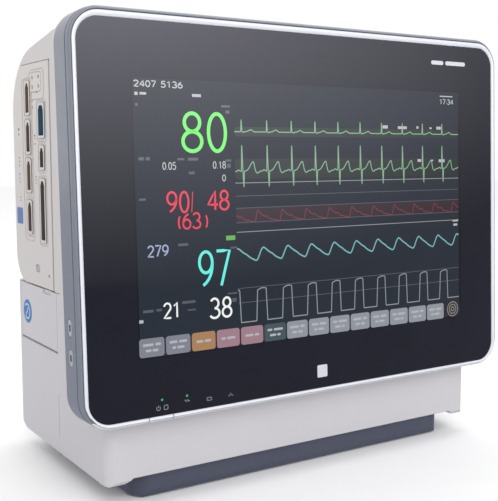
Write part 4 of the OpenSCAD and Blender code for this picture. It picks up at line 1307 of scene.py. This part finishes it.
class Castings:
    """Finishes for the pieces that come straight from the CAD frame."""

    finish_of: dict[str, list[str]] = {
        "glass_border": ["front_glass"],
        "frame_paint": ["front_frame", "display_back"],
        "rim_silver": ["front_rim", "power_key"],
        "cover_shell": ["rear_cover"],
        "housing_shell": ["lower_housing", "battery_door"],
        "unit_shell": ["unit_case", "temperature_jacks"],
        "key_cap": ["side_key_upper", "side_key_lower", "unit_release_key"],
        "grip_liner": ["grip_cup"],
        "foot_moulding": ["base_foot"],
        "pad_rubber": ["rubber_pads", "glass_gasket"],
        "dark_moulding": ["speaker", "battery_pack", "cuff_pump", "dock_plug", "dock_socket",
                          "mains_inlet"],
        "speaker_cloth": ["speaker_mesh"],
        "circuit_board": ["lcd_driver_board", "alarm_led_board", "key_board", "main_board",
                          "amplifier_board"],
        "ribbon_film": ["lcd_ribbon"],
        "clear_lens": ["alarm_light_lens", "status_light_pipes"],
        "sheet_steel": ["lcd_module", "display_chassis", "main_chassis", "power_supply",
                        "unit_back_plate", "port_plate"],
        "fin_aluminium": ["board_heatsink"],
        "screw_steel": ["foot_screws", "cover_screws", "display_screws", "board_screws", "door_pin"],
        "port_plating": ["network_port", "usb_ports", "inlet_blades"],
        "gold_contact": ["battery_contacts", "socket_pins"],
        "post_brass": ["equipotential_post"],
        "socket_tan": ["multi_socket_1", "multi_socket_3"],
        "socket_brown": ["multi_socket_2", "multi_socket_4"],
        "socket_blue": ["oximeter_socket"],
        "socket_grey": ["pressure_socket", "lead_socket"],
        "video_blue": ["video_port"],
    }

    def dress(self, finishes: Finishes) -> None:
        """Gives every carried-over node its finish."""
        for finish, nodes in self.finish_of.items():
            for node in nodes:
                finishes.dress(frame["nodes"][node], finish)
        for node in SOCKETS:
            self.border(frame["nodes"][node], finishes)
        missing = set(frame["nodes"]) - {n for nodes in self.finish_of.values() for n in nodes}
        if missing:
            raise ValueError(f"no finish for {sorted(missing)}")
        log.info("dressed %d frame nodes", len(frame["nodes"]))

    def border(self, obj: bpy.types.Object, finishes: Finishes) -> None:
        """Gives a socket's outward rim the colour of the case round it.

        Args:
            obj: the socket.
            finishes: the materials.
        """
        obj.data.materials.append(finishes.by_name["unit_shell"])
        edge = min(v.co.x for v in obj.data.vertices)
        for face in obj.data.polygons:
            if abs(face.center.x - edge) < 0.5 * MM and abs(face.normal.x) > 0.9:
                face.material_index = 1


# ---- Studio -------------------------------------------------------------------------


@dataclass
class Studio:
    """Pale floor, soft lights and the camera."""

    eye: tuple[float, float, float] = (-0.4527, -0.7010, 0.2705)
    pitch: float = 83.67
    yaw: float = -32.69
    lens: float = 64.78
    softboxes: tuple[tuple[str, tuple[float, float, float], float, float], ...] = (
        ("key_softbox", (-0.5, -2.2, 2.0), 1.6, 20.0), ("top_softbox", (0.6, 0.4, 2.2), 1.8, 12.0))
    aim: tuple[float, float, float] = (0.0, 0.0, 0.2)
    hot: tuple[float, float, float] = (0.78, -2.4, 1.05)
    hot_squeeze: float = 0.42
    hot_reach: float = 1.2
    hot_level: float = 7.0

    def build(self) -> None:
        """Sets up floor, world, lights and camera."""
        self.floor()
        world = bpy.data.worlds.new("studio")
        bpy.context.scene.world = world
        world.use_nodes = True
        back = world.node_tree.nodes["Background"]
        back.inputs["Color"].default_value = (1.0, 1.0, 1.0, 1)
        back.inputs["Strength"].default_value = 1.0
        for softbox in self.softboxes:
            self.light(*softbox)
        self.glow_card()
        self.camera()

    def floor(self) -> None:
        """A sheet of pale paper, which gloss mirrors as if a dark flag hung over it."""
        x, y = np.meshgrid(np.linspace(-6, 6, 13), np.linspace(-6, 6, 13), indexing="ij")
        points = np.stack([x, y, np.zeros_like(x)], axis=-1).reshape(-1, 3)
        floor = make_object("studio_floor", points, [f[::-1] for f in grid_faces(13, 13)])
        material, shader = blank("studio_paper")
        tree = material.node_tree
        where = tree.nodes.new("ShaderNodeTexCoord")
        fibre = noise(tree, where.outputs["Object"], 40.0, 4.0)
        paper = mix_colour(tree, fibre, (0.93, 0.93, 0.935, 1), (0.95, 0.95, 0.955, 1))
        shader.inputs["Roughness"].default_value = 0.9
        shader.inputs["Specular IOR Level"].default_value = 0.1
        path = tree.nodes.new("ShaderNodeLightPath")
        dim = tree.nodes.new("ShaderNodeEmission")
        dim.inputs["Color"].default_value = (0.40, 0.42, 0.50, 1)
        blend = tree.nodes.new("ShaderNodeMixShader")
        for start, end in ((paper, shader.inputs["Base Color"]),
                           (path.outputs["Is Glossy Ray"], blend.inputs[0]),
                           (shader.outputs[0], blend.inputs[1]), (dim.outputs[0], blend.inputs[2]),
                           (blend.outputs[0], tree.nodes["Material Output"].inputs[0])):
            tree.links.new(start, end)
        floor.data.materials.append(material)

    def glow_card(self) -> None:
        """A card whose glow fades from its upper left, mirrored in the upper left of the glass.

        The glow is a falloff with distance from the card's hot corner, so its edges stay soft.
        """
        u, v = np.meshgrid(np.linspace(-1.2, 5.4, 30), np.linspace(0.0, 2.6, 14), indexing="ij")
        points = np.stack([u, np.full_like(u, self.hot[1]), v], axis=-1).reshape(-1, 3)
        card = make_object("glow_card", points, [f[::-1] for f in grid_faces(30, 14)])
        card.visible_camera = False
        card.visible_diffuse = False
        card.visible_shadow = False
        material = bpy.data.materials.new("card_glow")
        material.use_nodes = True
        tree = material.node_tree
        tree.nodes.clear()
        out = tree.nodes.new("ShaderNodeOutputMaterial")
        lamp = tree.nodes.new("ShaderNodeEmission")
        where = tree.nodes.new("ShaderNodeTexCoord")
        squeeze = tree.nodes.new("ShaderNodeVectorMath")
        squeeze.operation = "MULTIPLY"
        squeeze.inputs[1].default_value = (self.hot_squeeze, 1.0, 1.0)
        tree.links.new(where.outputs["Object"], squeeze.inputs[0])
        away = tree.nodes.new("ShaderNodeVectorMath")
        away.operation = "DISTANCE"
        away.inputs[1].default_value = (self.hot[0] * self.hot_squeeze, self.hot[1], self.hot[2])
        tree.links.new(squeeze.outputs[0], away.inputs[0])
        fall = math_node(tree, "MULTIPLY_ADD", away.outputs["Value"], -1 / self.hot_reach, 1.0, clamp=True)
        soft = math_node(tree, "POWER", fall, 1.6)
        tree.links.new(math_node(tree, "MULTIPLY_ADD", soft, self.hot_level, 0.5), lamp.inputs["Strength"])
        lamp.inputs["Color"].default_value = (0.90, 0.89, 1.0, 1)
        tree.links.new(lamp.outputs[0], out.inputs[0])
        card.data.materials.append(material)

    def light(self, name: str, at: tuple[float, float, float], size: float, power: float) -> None:
        """Adds one square area light that faces the aim.

        Args:
            name: the light's name.
            at: where it stands.
            size: its side.
            power: its power in watts.
        """
        lamp = bpy.data.lights.new(name, "AREA")
        lamp.size = size
        lamp.energy = power
        obj = bpy.data.objects.new(name, lamp)
        obj.location = at
        obj.rotation_euler = (Vector(self.aim) - Vector(at)).to_track_quat("-Z", "Y").to_euler()
        bpy.context.scene.collection.objects.link(obj)

    def camera(self) -> None:
        """Adds the camera and makes it the scene's."""
        data = bpy.data.cameras.new("camera")
        data.lens = self.lens
        data.sensor_width = 36.0
        data.clip_start = 0.01
        data.dof.use_dof = False
        obj = bpy.data.objects.new("camera", data)
        obj.location = self.eye
        obj.rotation_euler = (math.radians(self.pitch), 0.0, math.radians(self.yaw))
        bpy.context.scene.collection.objects.link(obj)
        bpy.context.scene.camera = obj
        bpy.context.scene.view_settings.view_transform = "Standard"


def main() -> None:
    """Builds the monitor's looks in order."""
    logging.basicConfig(level=logging.INFO, format="%(name)s: %(message)s")
    finishes = Finishes()
    Castings().dress(finishes)
    shop = Builder(finishes)
    for part in (FrontRim(), Screen(), GlassMarks(), UnitFace(), DoorDisc(), SideKeys()):
        part.build(shop)
    Studio().build()
    log.info("made %d new pieces", len(shop.made))


if __name__ == "__main__":
    main()
